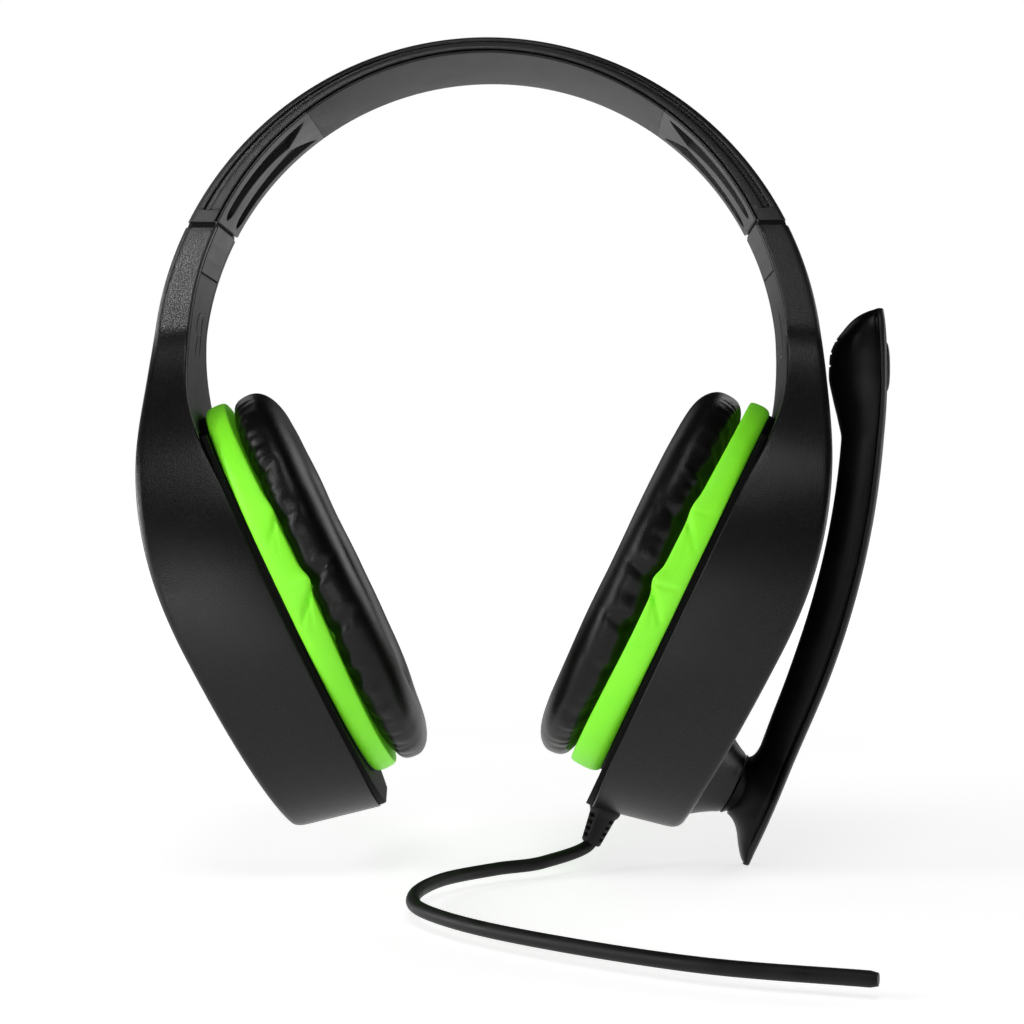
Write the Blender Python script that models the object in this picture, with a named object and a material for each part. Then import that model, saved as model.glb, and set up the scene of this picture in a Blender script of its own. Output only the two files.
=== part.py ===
"""Gaming headset: a sprung headband, two sliding arms with ear cups, and a swinging microphone boom.

Frame: the origin is the crown contact, on the underside of the headband's middle. +Z is up, +X is the
wearer's left and -Y is the way the wearer faces. Both sides are built from one set of functions in the
left side's coordinates, in millimetres, and the right side is their mirror image.
"""

import math

import bmesh
import bpy
from mathutils import Matrix, Vector

MM = 0.001
GAP = 0.3  # between neighbouring pieces

# Headband: two circles whose centres lie on the Z axis give the crescent.
BAND_OUTER_RADIUS = 80.3
BAND_OUTER_CENTRE = -76.5
BAND_INNER_RADIUS = 71.3
BAND_INNER_CENTRE = -71.3
BAND_HALF_WIDTH = 18.25
BAND_NARROWING = 6.25
BAND_NARROW_ANGLE = math.radians(83)
JUNCTION_Z = -39.6  # where the arms leave the headband
GUIDE_END_Z = -50.4
BAND_WALL = 1.2
FLANGE_WIDTH = 3.2
LINER_LIP = 0.5
SHADOW_GAP = 0.35
GROOVE_DEPTH = 1.5
GROOVE_FROM, GROOVE_TO = 0.34, 0.56  # share of the flange's height
GROOVE_END = 0.955  # share of the way from the crown to the junction
PAD_END = 0.563
SPRING_END = 0.73
SPRING_DEPTH, SPRING_THICKNESS, SPRING_HALF_WIDTH = 1.5, 0.6, 6.0

# Size adjustment: a notched strip stands on the headband, the arm slides along it.
STRIP_RADIUS = 77.6
STRIP_START_ANGLE = math.radians(49)
STRIP_TIP = (76.7, -77.5)
STRIP_THICKNESS = 1.0
STRIP_HALF_WIDTH = 6.5
NOTCH_DEPTH, NOTCH_PITCH, NOTCH_COUNT = 0.6, 3.2, 9

# Arm and ear cup
WALL = 2.0
ARM_BLEND_RADIUS = 140.0
CUP_OUTER_TILT = math.radians(27)
CUP_TILT = math.radians(25.5)
INNER_BLEND_RADIUS = 45.0
RIM_OFFSET = 100.27  # distance of the rim plane from the origin
TOE = math.tan(math.radians(4.5))
TOE_START_Z, TOE_FULL_Z = -68.0, -90.0
OUTER_BOTTOM_Z, INNER_BOTTOM_Z = -181.0, -175.0
CUP_HALF_WIDTH, CUP_HALF_HEIGHT, CUP_CENTRE_Z = 42.0, 50.0, -130.0
CUP_ROUNDNESS = 2.3  # exponent of the superellipse
NECK_Z, SHOULDER_Z = -63.0, -96.0
EDGE_RADIUS = 1.6
ARM_DOME, CUP_DOME = 0.5, 2.0
COVER_THICKNESS = 1.3
COVER_END_Z = -89.9

# Ear cushion and what is behind it. Depths count from the rim plane towards the ear.
CUP_ORIGIN = Vector((49.84, 0.0, -128.4))
BAFFLE_FROM, BAFFLE_TO, BAFFLE_INSET = 0.4, 1.7, 0.4
BAND_FROM, BAND_TO = 2.0, 8.6
BAND_SEMI_HEIGHT, BAND_SEMI_WIDTH = 48.6, 42.0
CUSHION_FROM, CUSHION_TO, CUSHION_DROP = 8.9, 20.5, 0.6
CUSHION_SEMI_HEIGHT, CUSHION_SEMI_WIDTH = 49.0, 42.5
EAR_SEMI_HEIGHT, EAR_SEMI_WIDTH = 28.0, 21.0
ROLL_RADIUS = 5.8
DRIVER_RADIUS = 20.0
SCREW_HEIGHTS = (24.5, -24.5)

# Microphone boom: stations along an arc, and the pivot on the left cup.
BOOM_RADIUS = 205.0
BOOM_CENTRE = (-108.6, -75.0)
BOOM_COVER = 2.2
BOOM_GROOVE = 0.7
PIVOT = Vector((59.6, 0.0, -173.9))
PIVOT_AXIS = Vector((0.899, 0.0, -0.438)).normalized()
SOCKET_LENGTH = 9.2
SOCKET_BASE_RADIUS, SOCKET_TOP_RADIUS = 12.6, 7.0
SPIGOT_RADIUS = 5.0
SEAM_GAP = 0.15  # from the pivot's plane to each of the two pieces that meet there
PIN_RADIUS = 1.8
# (angle on the arc in degrees, thickness, half width)
BOOM_STATIONS = (
    (-34.2, 0.9, 1.2),
    (-33.8, 3.6, 3.2),
    (-33.2, 6.2, 5.0),
    (-32.4, 7.8, 6.4),
    (-30.5, 8.4, 7.0),
    (-28.6, 8.6, 6.4),
    (-27.2, 8.8, 5.6),
    (-24.0, 9.4, 5.0),
    (-19.0, 9.9, 4.7),
    (-13.0, 10.0, 4.6),
    (-7.5, 10.0, 4.6),
    (-4.6, 10.0, 5.0),
    (-3.2, 11.1, 6.2),
    (-1.6, 12.6, 7.4),
    (0.0, 13.4, 8.0),
    (1.4, 12.7, 8.0),
    (2.8, 10.5, 7.7),
    (3.6, 7.8, 7.0),
    (4.2, 4.2, 5.6),
    (4.55, 0.9, 3.6),
)
MIC_ANGLE = 1.3
BUTTON_ANGLE = 0.63
BUTTON_SEMI_LENGTH, BUTTON_SEMI_WIDTH, BUTTON_PROUD = 6.2, 3.9, 0.9

# Cable
RELIEF_TOP = Vector((29.4, -10.5, -176.4))
RELIEF_AXIS = Vector((-0.40, -0.10, -0.91)).normalized()
RELIEF_LENGTH = 11.5
CABLE_RADIUS = 1.5
CABLE_EXIT_PULL = 14.0  # how strongly the cable leaves the sleeve along its axis
CABLE_POINTS = (
    (8.5, -29.0, -190.0),
    (-9.3, -47.0, -190.0),
    (-13.8, -72.0, -190.0),
    (-10.0, -88.0, -190.0),
    (9.4, -114.0, -190.0),
    (43.0, -131.0, -190.0),
    (74.0, -139.0, -190.0),
)

BLACK = (0.012, 0.012, 0.013, 1.0)
DARK_GREY = (0.045, 0.045, 0.047, 1.0)
GREEN = (0.19, 0.75, 0.02, 1.0)
STEEL = (0.45, 0.45, 0.46, 1.0)
COPPER_GREEN = (0.02, 0.12, 0.05, 1.0)


# ---- objects and materials -------------------------------------------------------------------


def clear_scene():
    for obj in list(bpy.data.objects):
        bpy.data.objects.remove(obj, do_unlink=True)


def make_material(name, colour, roughness, metallic=0.0):
    material = bpy.data.materials.new(name)
    material.use_nodes = True
    shader = material.node_tree.nodes["Principled BSDF"]
    shader.inputs["Base Color"].default_value = colour
    shader.inputs["Roughness"].default_value = roughness
    shader.inputs["Metallic"].default_value = metallic
    return material


def make_empty(name, matrix, parent=None):
    """An empty whose world matrix is the given one, with its place in millimetres."""
    empty = bpy.data.objects.new(name, None)
    bpy.context.scene.collection.objects.link(empty)
    world = matrix.copy()
    world.translation = world.translation * MM
    empty.parent = parent
    empty.matrix_world = world
    bpy.context.view_layer.update()
    return empty


def make_part(name, mesh_builder, material, parent, side=1):
    """Turns a bmesh in the left side's millimetres into an object under its parent."""
    if side < 0:
        bmesh.ops.scale(mesh_builder, vec=(-1, 1, 1), verts=mesh_builder.verts)
    bmesh.ops.recalc_face_normals(mesh_builder, faces=mesh_builder.faces)
    if mesh_builder.calc_volume(signed=True) < 0:
        bmesh.ops.reverse_faces(mesh_builder, faces=mesh_builder.faces)
    bmesh.ops.scale(mesh_builder, vec=(MM, MM, MM), verts=mesh_builder.verts)
    mesh_builder.transform(parent.matrix_world.inverted())
    mesh = bpy.data.meshes.new(name)
    mesh_builder.to_mesh(mesh)
    mesh_builder.free()
    mesh.materials.append(make_material(name, *material))
    mesh.shade_smooth()
    mesh.set_sharp_from_angle(angle=math.radians(30))
    obj = bpy.data.objects.new(name, mesh)
    bpy.context.scene.collection.objects.link(obj)
    obj.parent = parent
    return obj


def cut(target, name, mesh_builder, parent, side=1, operation="DIFFERENCE"):
    """Cuts or joins a helper shape, which stays in the scene as a wire guide."""
    helper = make_part(name, mesh_builder, (DARK_GREY, 0.5), parent, side)
    helper.hide_render = True
    helper.display_type = "WIRE"
    boolean = target.modifiers.new(name, "BOOLEAN")
    boolean.object = helper
    boolean.operation = operation


def left_or_right(side):
    return "left" if side > 0 else "right"


# ---- mesh helpers ----------------------------------------------------------------------------


def loft(rings, closed=False):
    """A solid through rings of the same number of points; its ends are capped unless it is closed."""
    builder = bmesh.new()
    rows = [[builder.verts.new(point) for point in ring] for ring in rings]
    count = len(rows[0])
    pairs = list(zip(rows, rows[1:]))
    if closed:
        pairs.append((rows[-1], rows[0]))
    for first, second in pairs:
        for i in range(count):
            j = (i + 1) % count
            builder.faces.new((first[i], first[j], second[j], second[i]))
    if not closed:
        builder.faces.new(rows[0])
        builder.faces.new(rows[-1])
    return builder


def frame_along(origin, axis):
    """A matrix whose Z is the given axis and whose Y stays as near the world's Y as it can."""
    z = axis.normalized()
    x = Vector((0, 1, 0)).cross(z).normalized()
    y = z.cross(x)
    matrix = Matrix((x, y, z)).transposed().to_4x4()
    matrix.translation = origin
    return matrix


def turned(profile, matrix, segments=24):
    """A profile of (radius, height) points turned about the matrix's Z. A radius of 0 closes it."""
    builder = bmesh.new()
    rows = []
    for radius, height in profile:
        if radius == 0:
            rows.append([builder.verts.new(matrix @ Vector((0, 0, height)))])
            continue
        row = []
        for i in range(segments):
            angle = 2 * math.pi * i / segments
            point = Vector((radius * math.cos(angle), radius * math.sin(angle), height))
            row.append(builder.verts.new(matrix @ point))
        rows.append(row)
    pairs = list(zip(rows, rows[1:]))
    if len(rows[0]) > 1:
        pairs.append((rows[-1], rows[0]))
    for first, second in pairs:
        for i in range(segments):
            j = (i + 1) % segments
            corners = [first[i % len(first)], first[j % len(first)]]
            corners += [second[j % len(second)], second[i % len(second)]]
            corners = list(dict.fromkeys(corners))
            if len(corners) > 2:
                builder.faces.new(corners)
    return builder


def superellipse(angle, semi_x, semi_y, power=CUP_ROUNDNESS):
    cosine, sine = math.cos(angle), math.sin(angle)
    reach = (abs(cosine) ** power + abs(sine) ** power) ** (-1 / power)
    return semi_x * reach * cosine, semi_y * reach * sine


def steps(start, end, count):
    return [start + (end - start) * i / (count - 1) for i in range(count)]


# ---- shape of the headband and the arms ------------------------------------------------------


def inner_reach(angle):
    """Distance from the outer circle's centre to the inner circle at an angle from the crown."""
    shift = BAND_INNER_CENTRE - BAND_OUTER_CENTRE
    across = shift * math.sin(angle)
    return shift * math.cos(angle) + math.sqrt(BAND_INNER_RADIUS**2 - across**2)


def junction_angles():
    """Where the outer and the inner circle meet the junction plane."""
    height = JUNCTION_Z - BAND_OUTER_CENTRE
    outer = math.acos(height / BAND_OUTER_RADIUS)
    inner_height = JUNCTION_Z - BAND_INNER_CENTRE
    inner_x = math.sqrt(BAND_INNER_RADIUS**2 - inner_height**2)
    return outer, math.atan2(inner_x, height)


OUTER_END_ANGLE, INNER_END_ANGLE = junction_angles()


def band_section(share):
    """Outer point, unit vector inwards and thickness, from the crown (0) to a junction (-1, 1)."""
    outer_angle = share * OUTER_END_ANGLE
    inner_angle = share * INNER_END_ANGLE
    reach = inner_reach(inner_angle)
    centre = Vector((0, 0, BAND_OUTER_CENTRE))
    outer = centre + BAND_OUTER_RADIUS * Vector((math.sin(outer_angle), 0, math.cos(outer_angle)))
    inner = centre + reach * Vector((math.sin(inner_angle), 0, math.cos(inner_angle)))
    return outer, (inner - outer).normalized(), (inner - outer).length


def band_point(share, depth, y):
    outer, inwards, _ = band_section(share)
    point = outer + inwards * depth
    point.y = y
    return point


def band_half_width(z):
    angle = math.acos(min(1.0, (z - BAND_OUTER_CENTRE) / BAND_OUTER_RADIUS))
    return BAND_HALF_WIDTH - BAND_NARROWING * (angle / BAND_NARROW_ANGLE) ** 1.6


def cup_half_width(z):
    height = abs(z - CUP_CENTRE_Z) / CUP_HALF_HEIGHT
    return CUP_HALF_WIDTH * max(0.0, 1 - height**CUP_ROUNDNESS) ** (1 / CUP_ROUNDNESS)


def half_width(z):
    """Half the size in Y: the band's taper, a smooth shoulder, then the cup."""
    if z > NECK_Z:
        return band_half_width(z)
    if z < SHOULDER_Z:
        return cup_half_width(z)
    span = NECK_Z - SHOULDER_Z
    along = (NECK_Z - z) / span
    start, end = band_half_width(NECK_Z), cup_half_width(SHOULDER_Z)
    start_slope = (band_half_width(NECK_Z) - band_half_width(NECK_Z + 1)) * span
    end_slope = (cup_half_width(SHOULDER_Z - 1) - cup_half_width(SHOULDER_Z)) * span
    rise = along * along * (3 - 2 * along)
    return (
        start
        + (end - start) * rise
        + start_slope * along * (1 - along) ** 2
        - end_slope * along * along * (1 - along)
    )


def outer_x(z):
    """The outer curve of the arm and the cup: the band's circle, a wide arc, a straight line."""
    if z > BAND_OUTER_CENTRE:
        return math.sqrt(BAND_OUTER_RADIUS**2 - (z - BAND_OUTER_CENTRE) ** 2)
    drop = BAND_OUTER_CENTRE - z
    arc_drop = ARM_BLEND_RADIUS * math.sin(CUP_OUTER_TILT)
    on_arc = min(drop, arc_drop)
    arc_x = BAND_OUTER_RADIUS - ARM_BLEND_RADIUS + math.sqrt(ARM_BLEND_RADIUS**2 - on_arc**2)
    return arc_x - max(0.0, drop - arc_drop) * math.tan(CUP_OUTER_TILT)


def inner_blend():
    """Centre of the arc that joins the band's inner circle to the rim plane, and where it starts."""
    offset = BAND_INNER_RADIUS - INNER_BLEND_RADIUS
    wanted = RIM_OFFSET + BAND_INNER_CENTRE * math.sin(CUP_TILT) - INNER_BLEND_RADIUS
    angle = CUP_TILT - math.acos(wanted / offset)
    return offset * math.cos(angle), BAND_INNER_CENTRE - offset * math.sin(angle), angle


def inner_x(z):
    """The inner curve at Y = 0: the band's inner circle, a tight arc, then the rim plane."""
    centre_x, centre_z, start_angle = inner_blend()
    arc_start = BAND_INNER_CENTRE - BAND_INNER_RADIUS * math.sin(start_angle)
    arc_end = centre_z - INNER_BLEND_RADIUS * math.sin(CUP_TILT)
    if z > arc_start:
        return math.sqrt(BAND_INNER_RADIUS**2 - (z - BAND_INNER_CENTRE) ** 2)
    if z > arc_end:
        return centre_x + math.sqrt(INNER_BLEND_RADIUS**2 - (z - centre_z) ** 2)
    return (RIM_OFFSET + z * math.sin(CUP_TILT)) / math.cos(CUP_TILT)


def arm_section(along):
    """Inner point, outer point and half width, from the junction (0) to the cup's bottom (1)."""
    inner_z = JUNCTION_Z + (INNER_BOTTOM_Z - JUNCTION_Z) * along
    outer_z = JUNCTION_Z + (OUTER_BOTTOM_Z - JUNCTION_Z) * along
    inner = Vector((inner_x(inner_z), 0, inner_z))
    outer = Vector((outer_x(outer_z), 0, outer_z))
    return inner, outer, half_width((inner_z + outer_z) / 2)


def arm_share(inner_z):
    return (inner_z - JUNCTION_Z) / (INNER_BOTTOM_Z - JUNCTION_Z)


def arm_point(along, from_inner, y):
    """A point so many millimetres outwards from the inner curve, with the cup's toe-in."""
    inner, outer, _ = arm_section(along)
    direction = (outer - inner).normalized()
    point = inner + direction * from_inner
    turn = min(1.0, max(0.0, (TOE_START_Z - inner.z) / (TOE_START_Z - TOE_FULL_Z)))
    fade = 1 - from_inner / (outer - inner).length
    point.x += TOE * turn * fade * y
    point.y = y
    return point


def arm_ring(along, inset, inner_from):
    """A ring around the arm or cup, pulled in by a wall thickness, starting at the inner side."""
    inner, outer, width = arm_section(along)
    depth = (outer - inner).length - inset
    width -= inset
    dome = ARM_DOME + (CUP_DOME - ARM_DOME) * min(1.0, max(0.0, (NECK_Z - inner.z) / 40))
    radius = EDGE_RADIUS
    half = [(inner_from, width), (depth - radius, width)]
    half.append((depth - 0.3 * radius, width - 0.3 * radius))
    edge = width - radius
    for share in (1.0, 0.55):
        half.append((depth + dome * (1 - share**2), edge * share))
    middle = [(depth + dome, 0.0)]
    mirrored = [(from_inner, -y) for from_inner, y in reversed(half)]
    return [arm_point(along, from_inner, y) for from_inner, y in half + middle + mirrored]


def shell_stations(start, end, count):
    """Stations that crowd together towards the bottom, where the outline turns fastest."""
    return [start + (end - start) * (1 - (1 - t) ** 1.35) for t in steps(0, 1, count)]


# ---- headband pieces -------------------------------------------------------------------------


def flange_depth(share):
    return band_section(share)[2] - LINER_LIP - SHADOW_GAP


def band_ring(share, half_profile):
    """A closed ring across the band from its half profile of (depth, y), mirrored in Y."""
    mirrored = [(depth, -y) for depth, y in reversed(half_profile)]
    return [band_point(share, depth, y) for depth, y in half_profile + mirrored]


def headband_shell_ring(share):
    width = band_half_width(band_section(share)[0].z)
    bottom = flange_depth(share)
    return band_ring(
        share,
        [
            (BAND_WALL, width - FLANGE_WIDTH),
            (bottom, width - FLANGE_WIDTH),
            (bottom, width),
            (0.35, width),
            (0.0, width - 1.0),
        ],
    )


def edge_groove(y_sign):
    rings = []
    for share in steps(-GROOVE_END, GROOVE_END, 25):
        width = band_half_width(band_section(share)[0].z)
        depth = flange_depth(share)
        inner, outer = width - GROOVE_DEPTH, width + 1
        ends = (depth * GROOVE_FROM, depth * GROOVE_TO)
        corners = [(ends[0], inner), (ends[0], outer), (ends[1], outer), (ends[1], inner)]
        rings.append([band_point(share, d, y * y_sign) for d, y in corners])
    return loft(rings)


def make_headband_shell(root):
    rings = [headband_shell_ring(share) for share in steps(-1, 1, 25)]
    shell = make_part("headband_shell", loft(rings), (BLACK, 0.42), root)
    cut(shell, "front_groove_cutter", edge_groove(-1), root)
    cut(shell, "rear_groove_cutter", edge_groove(1), root)


def liner_ring(share, stem_top):
    """A T section: a lip over the flanges and a stem between them."""
    width = band_half_width(band_section(share)[0].z)
    thickness = band_section(share)[2]
    stem = width - FLANGE_WIDTH - GAP
    lip = thickness - LINER_LIP
    return band_ring(share, [(stem_top, stem), (lip, stem), (lip, width - 0.2), (thickness, width - 0.2)])


def make_headband_pad(root):
    rings = [liner_ring(share, 2.5) for share in steps(-PAD_END, PAD_END, 17)]
    make_part("headband_pad", loft(rings), (DARK_GREY, 0.7), root)


def vent_slot(y_sign):
    """One slot: its upper end is cut on the slant, and it narrows at its lower end."""
    rings = []
    inner_y, outer_y = 3.6, 11.0
    stations = [(0.0, 0.0), (0.15, 0.0), (0.9, 0.0), (1.0, 1.6)]
    for along, narrowing in stations:
        ring = []
        for y in (inner_y + narrowing, outer_y - narrowing):
            slant = 0.066 * (outer_y - y) / (outer_y - inner_y) * (1 - along)
            share = 0.588 + slant + (0.955 - 0.588) * along
            thickness = band_section(share)[2]
            ring += [(share, thickness - 2.6, y), (share, thickness + 1, y)]
        order = (ring[0], ring[1], ring[3], ring[2])
        rings.append([band_point(share, depth, y * y_sign) for share, depth, y in order])
    return loft(rings)


def make_vent_panel(root, side):
    name = left_or_right(side) + "_vent_panel"
    start = PAD_END + 0.006
    rings = []
    for share in steps(start, 0.998, 11):
        rings.append(liner_ring(share, band_section(share)[2] - 1.5))
    panel = make_part(name, loft(rings), (DARK_GREY, 0.6), root, side)
    for label, y_sign in (("front", -1), ("rear", 1)):
        cut(panel, f"{name}_{label}_slot", vent_slot(y_sign), root, side)


def make_headband_spring(root):
    far = SPRING_DEPTH + SPRING_THICKNESS
    half = [(SPRING_DEPTH, SPRING_HALF_WIDTH), (far, SPRING_HALF_WIDTH)]
    rings = [band_ring(share, half) for share in steps(-SPRING_END, SPRING_END, 25)]
    make_part("headband_spring", loft(rings), (STEEL, 0.3, 1.0), root)


def strip_path():
    """Centre line of the strip: part of a circle inside the band, then straight into the arm."""
    outer_angle = math.acos((JUNCTION_Z - BAND_OUTER_CENTRE) / STRIP_RADIUS)
    path = []
    for angle in steps(STRIP_START_ANGLE, outer_angle, 6):
        height = BAND_OUTER_CENTRE + STRIP_RADIUS * math.cos(angle)
        path.append(Vector((STRIP_RADIUS * math.sin(angle), 0, height)))
    return path, Vector((STRIP_TIP[0], 0, STRIP_TIP[1]))


def slide_direction():
    path, tip = strip_path()
    return (tip - path[-1]).normalized()


def strip_stations():
    """(point, half width) along the strip, with a row of notches on the straight part."""
    path, tip = strip_path()
    direction = slide_direction()
    stations = [(point, STRIP_HALF_WIDTH) for point in path]
    length = (tip - path[-1]).length
    first = length - NOTCH_PITCH * NOTCH_COUNT - 4
    for i in range(NOTCH_COUNT):
        at = first + NOTCH_PITCH * i
        for offset, inset in ((0, 0), (0.5, NOTCH_DEPTH), (1.1, NOTCH_DEPTH), (1.6, 0)):
            stations.append((path[-1] + direction * (at + offset), STRIP_HALF_WIDTH - inset))
    stations.append((tip - direction * 2, STRIP_HALF_WIDTH))
    stations.append((tip, STRIP_HALF_WIDTH - 2))
    return stations


def make_slider_strip(root, side):
    name = left_or_right(side) + "_slider_strip"
    stations = strip_stations()
    rings = []
    for i, (point, width) in enumerate(stations):
        before = stations[max(0, i - 1)][0]
        after = stations[min(len(stations) - 1, i + 1)][0]
        across = Vector((0, 1, 0)).cross(after - before).normalized() * STRIP_THICKNESS / 2
        ring = []
        for sign, y in ((-1, -width), (1, -width), (1, width), (-1, width)):
            corner = point + across * sign
            corner.y = y
            ring.append(corner)
        rings.append(ring)
    strip = make_part(name, loft(rings), (STEEL, 0.35, 1.0), root, side)
    matrix = strip_screw_frame()
    cut(strip, name + "_hole", turned(((0, -3), (1.5, -3), (1.5, 3), (0, 3)), matrix, 16), root, side)
    profile = ((0, 1.6), (1.1, 1.6), (1.1, -0.8), (2.4, -0.8), (2.2, -1.6), (0, -1.6))
    screw = turned(profile, matrix, 16)
    make_part(left_or_right(side) + "_strip_screw", screw, (STEEL, 0.4, 1.0), root, side)


def strip_screw_frame():
    """The screw stands across the strip, 4 degrees along from its upper end."""
    angle = STRIP_START_ANGLE + math.radians(4)
    outwards = Vector((math.sin(angle), 0, math.cos(angle)))
    centre = Vector((0, 0, BAND_OUTER_CENTRE)) + outwards * (STRIP_RADIUS - 0.2)
    return frame_along(centre, outwards)


# ---- arm and cup pieces ----------------------------------------------------------------------


def cup_point(forward, up, inwards):
    """Cup coordinates: forward (-Y side is negative), up along the rim, inwards to the ear."""
    up_axis = Vector((math.sin(CUP_TILT), 0, math.cos(CUP_TILT)))
    tilt_axis = Vector((math.cos(CUP_TILT), 0, -math.sin(CUP_TILT)))
    turn = math.atan(TOE * math.cos(CUP_TILT))
    along_axis = Vector((0, 1, 0)) * math.cos(turn) + tilt_axis * math.sin(turn)
    out_axis = tilt_axis * math.cos(turn) - Vector((0, 1, 0)) * math.sin(turn)
    return CUP_ORIGIN + along_axis * forward + up_axis * up - out_axis * inwards


def cup_matrix():
    """Z out of the cup, Y up along its rim, X backwards."""
    origin = cup_point(0, 0, 0)
    columns = [cup_point(1, 0, 0) - origin, cup_point(0, 1, 0) - origin, origin - cup_point(0, 0, 1)]
    matrix = Matrix(columns).transposed().to_4x4()
    matrix.translation = origin
    return matrix


def depth_behind_rim(up):
    """How far the outer curve stands behind the rim plane, at a height along the rim."""
    depth = 0.0
    point = cup_point(0, up, 0)
    while point.x < outer_x(point.z):
        depth += 0.2
        point = cup_point(0, up, -depth)
    return depth


def ring_in_cup(semi_width, semi_height, inwards, count=32, drop=0.0):
    points = []
    for i in range(count):
        forward, up = superellipse(2 * math.pi * i / count, semi_width, semi_height)
        points.append(cup_point(forward, up - drop, inwards))
    return points


def cylinder_in_cup(up, radius, from_depth, to_depth, segments=16):
    matrix = cup_matrix() @ Matrix.Translation((0, up, 0))
    low, high = sorted((-to_depth, -from_depth))
    return turned(((0, high), (radius, high), (radius, low), (0, low)), matrix, segments)


def make_shell(arm, side):
    name = left_or_right(side) + "_shell"
    outer = [arm_ring(along, 0.0, 0.0) for along in shell_stations(0.0015, 1.0, 24)]
    shell = make_part(name, loft(outer), (BLACK, 0.45), arm, side)
    inner = [arm_ring(along, WALL, -3.0) for along in shell_stations(-0.02, 0.984, 22)]
    cut(shell, name + "_hollow", loft(inner), arm, side)
    for label, up in zip(("upper", "lower"), SCREW_HEIGHTS):
        post = cylinder_in_cup(up, 3.0, -depth_behind_rim(up) - WALL / 2, -GAP)
        cut(shell, f"{name}_{label}_post", post, arm, side, "UNION")
        pilot = cylinder_in_cup(up, 1.5, -8.0, 3.0)
        cut(shell, f"{name}_{label}_pilot", pilot, arm, side)
    return shell


def make_arm_cover(arm, side):
    start, end = arm_share(GUIDE_END_Z) + 0.002, arm_share(COVER_END_Z)
    rings = []
    for along in steps(start, end, 10):
        width = arm_section(along)[2] - WALL - GAP
        corners = ((0, -width), (0, width), (COVER_THICKNESS, width), (COVER_THICKNESS, -width))
        rings.append([arm_point(along, depth, y) for depth, y in corners])
    make_part(left_or_right(side) + "_arm_cover", loft(rings), (DARK_GREY, 0.5), arm, side)


def slide_matrix(along=0.0):
    """Z down the slide, X across the strip's thickness, from the junction."""
    path, _ = strip_path()
    direction = slide_direction()
    across = Vector((0, 1, 0)).cross(direction)
    matrix = Matrix((across, Vector((0, 1, 0)), direction)).transposed().to_4x4()
    matrix.translation = path[-1] + direction * along
    return matrix


def block(matrix, low, high):
    builder = bmesh.new()
    bmesh.ops.create_cube(builder, size=1)
    size = [b - a for a, b in zip(low, high)]
    centre = [(a + b) / 2 for a, b in zip(low, high)]
    bmesh.ops.scale(builder, vec=size, verts=builder.verts)
    bmesh.ops.translate(builder, vec=centre, verts=builder.verts)
    builder.transform(matrix)
    return builder


def make_slider_guide(arm, side):
    name = left_or_right(side) + "_slider_guide"
    stations = steps(0.0015, arm_share(GUIDE_END_Z), 4)
    rings = [arm_ring(along, WALL + 1.5 * GAP, 0.0) for along in stations]
    guide = make_part(name, loft(rings), (DARK_GREY, 0.5), arm, side)
    thick, wide = STRIP_THICKNESS / 2 + GAP, STRIP_HALF_WIDTH + GAP
    slot = block(slide_matrix(), (-thick, -wide, -15), (thick, wide, 30))
    cut(guide, name + "_slot", slot, arm, side)


def make_detent_spring(arm, side):
    """A leaf beside the strip's edge, just under the guide, with one bent nose."""
    matrix = slide_matrix(13.0)
    nose = STRIP_HALF_WIDTH + GAP
    outline = ((0, nose + 0.9), (3, nose + 0.9), (4.4, nose), (5.8, nose + 0.9), (9, nose + 0.9))
    rings = []
    for height, y in outline:
        corners = ((-1.6, y), (0.3, y), (0.3, y + 0.35), (-1.6, y + 0.35))
        rings.append([matrix @ Vector((x, yy, height)) for x, yy in corners])
    make_part(left_or_right(side) + "_detent_spring", loft(rings), (STEEL, 0.3, 1.0), arm, side)


def rim_outline(inwards):
    """The cup's rim from its top, down the front, to the bottom and back up the rear."""
    axis = cup_matrix().to_3x3().col[2]
    stations = shell_stations(arm_share(COVER_END_Z - 1.0), 0.997, 15)
    half = []
    for along in stations:
        width = arm_section(along)[2] - BAFFLE_INSET
        half.append((along, width))
    points = [arm_point(along, 0, -width) for along, width in half]
    points += [arm_point(along, 0, width) for along, width in reversed(half)]
    on_plane = []
    for point in points:
        height = (point - CUP_ORIGIN).dot(axis)
        on_plane.append(point - axis * (height + inwards))
    return on_plane


def make_baffle(cup, side):
    name = left_or_right(side) + "_baffle"
    plate = loft([rim_outline(BAFFLE_FROM), rim_outline(BAFFLE_TO)])
    baffle = make_part(name, plate, (BLACK, 0.5), cup, side)
    cut(baffle, name + "_driver_hole", cylinder_in_cup(0, 17, -3, 5, 24), cup, side)
    for label, up in zip(("upper", "lower"), SCREW_HEIGHTS):
        cut(baffle, f"{name}_{label}_hole", cylinder_in_cup(up, 1.5, -3, 5), cup, side)
        matrix = cup_matrix() @ Matrix.Translation((0, up, 0))
        profile = ((0, -2.3), (2.4, -2.3), (2.4, -2.0), (1.1, -2.0), (1.1, 7.0), (0, 7.0))
        screw = turned([(radius, height) for radius, height in profile], matrix, 16)
        screw_name = f"{left_or_right(side)}_{label}_screw"
        make_part(screw_name, screw, (STEEL, 0.4, 1.0), cup, side)


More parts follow.
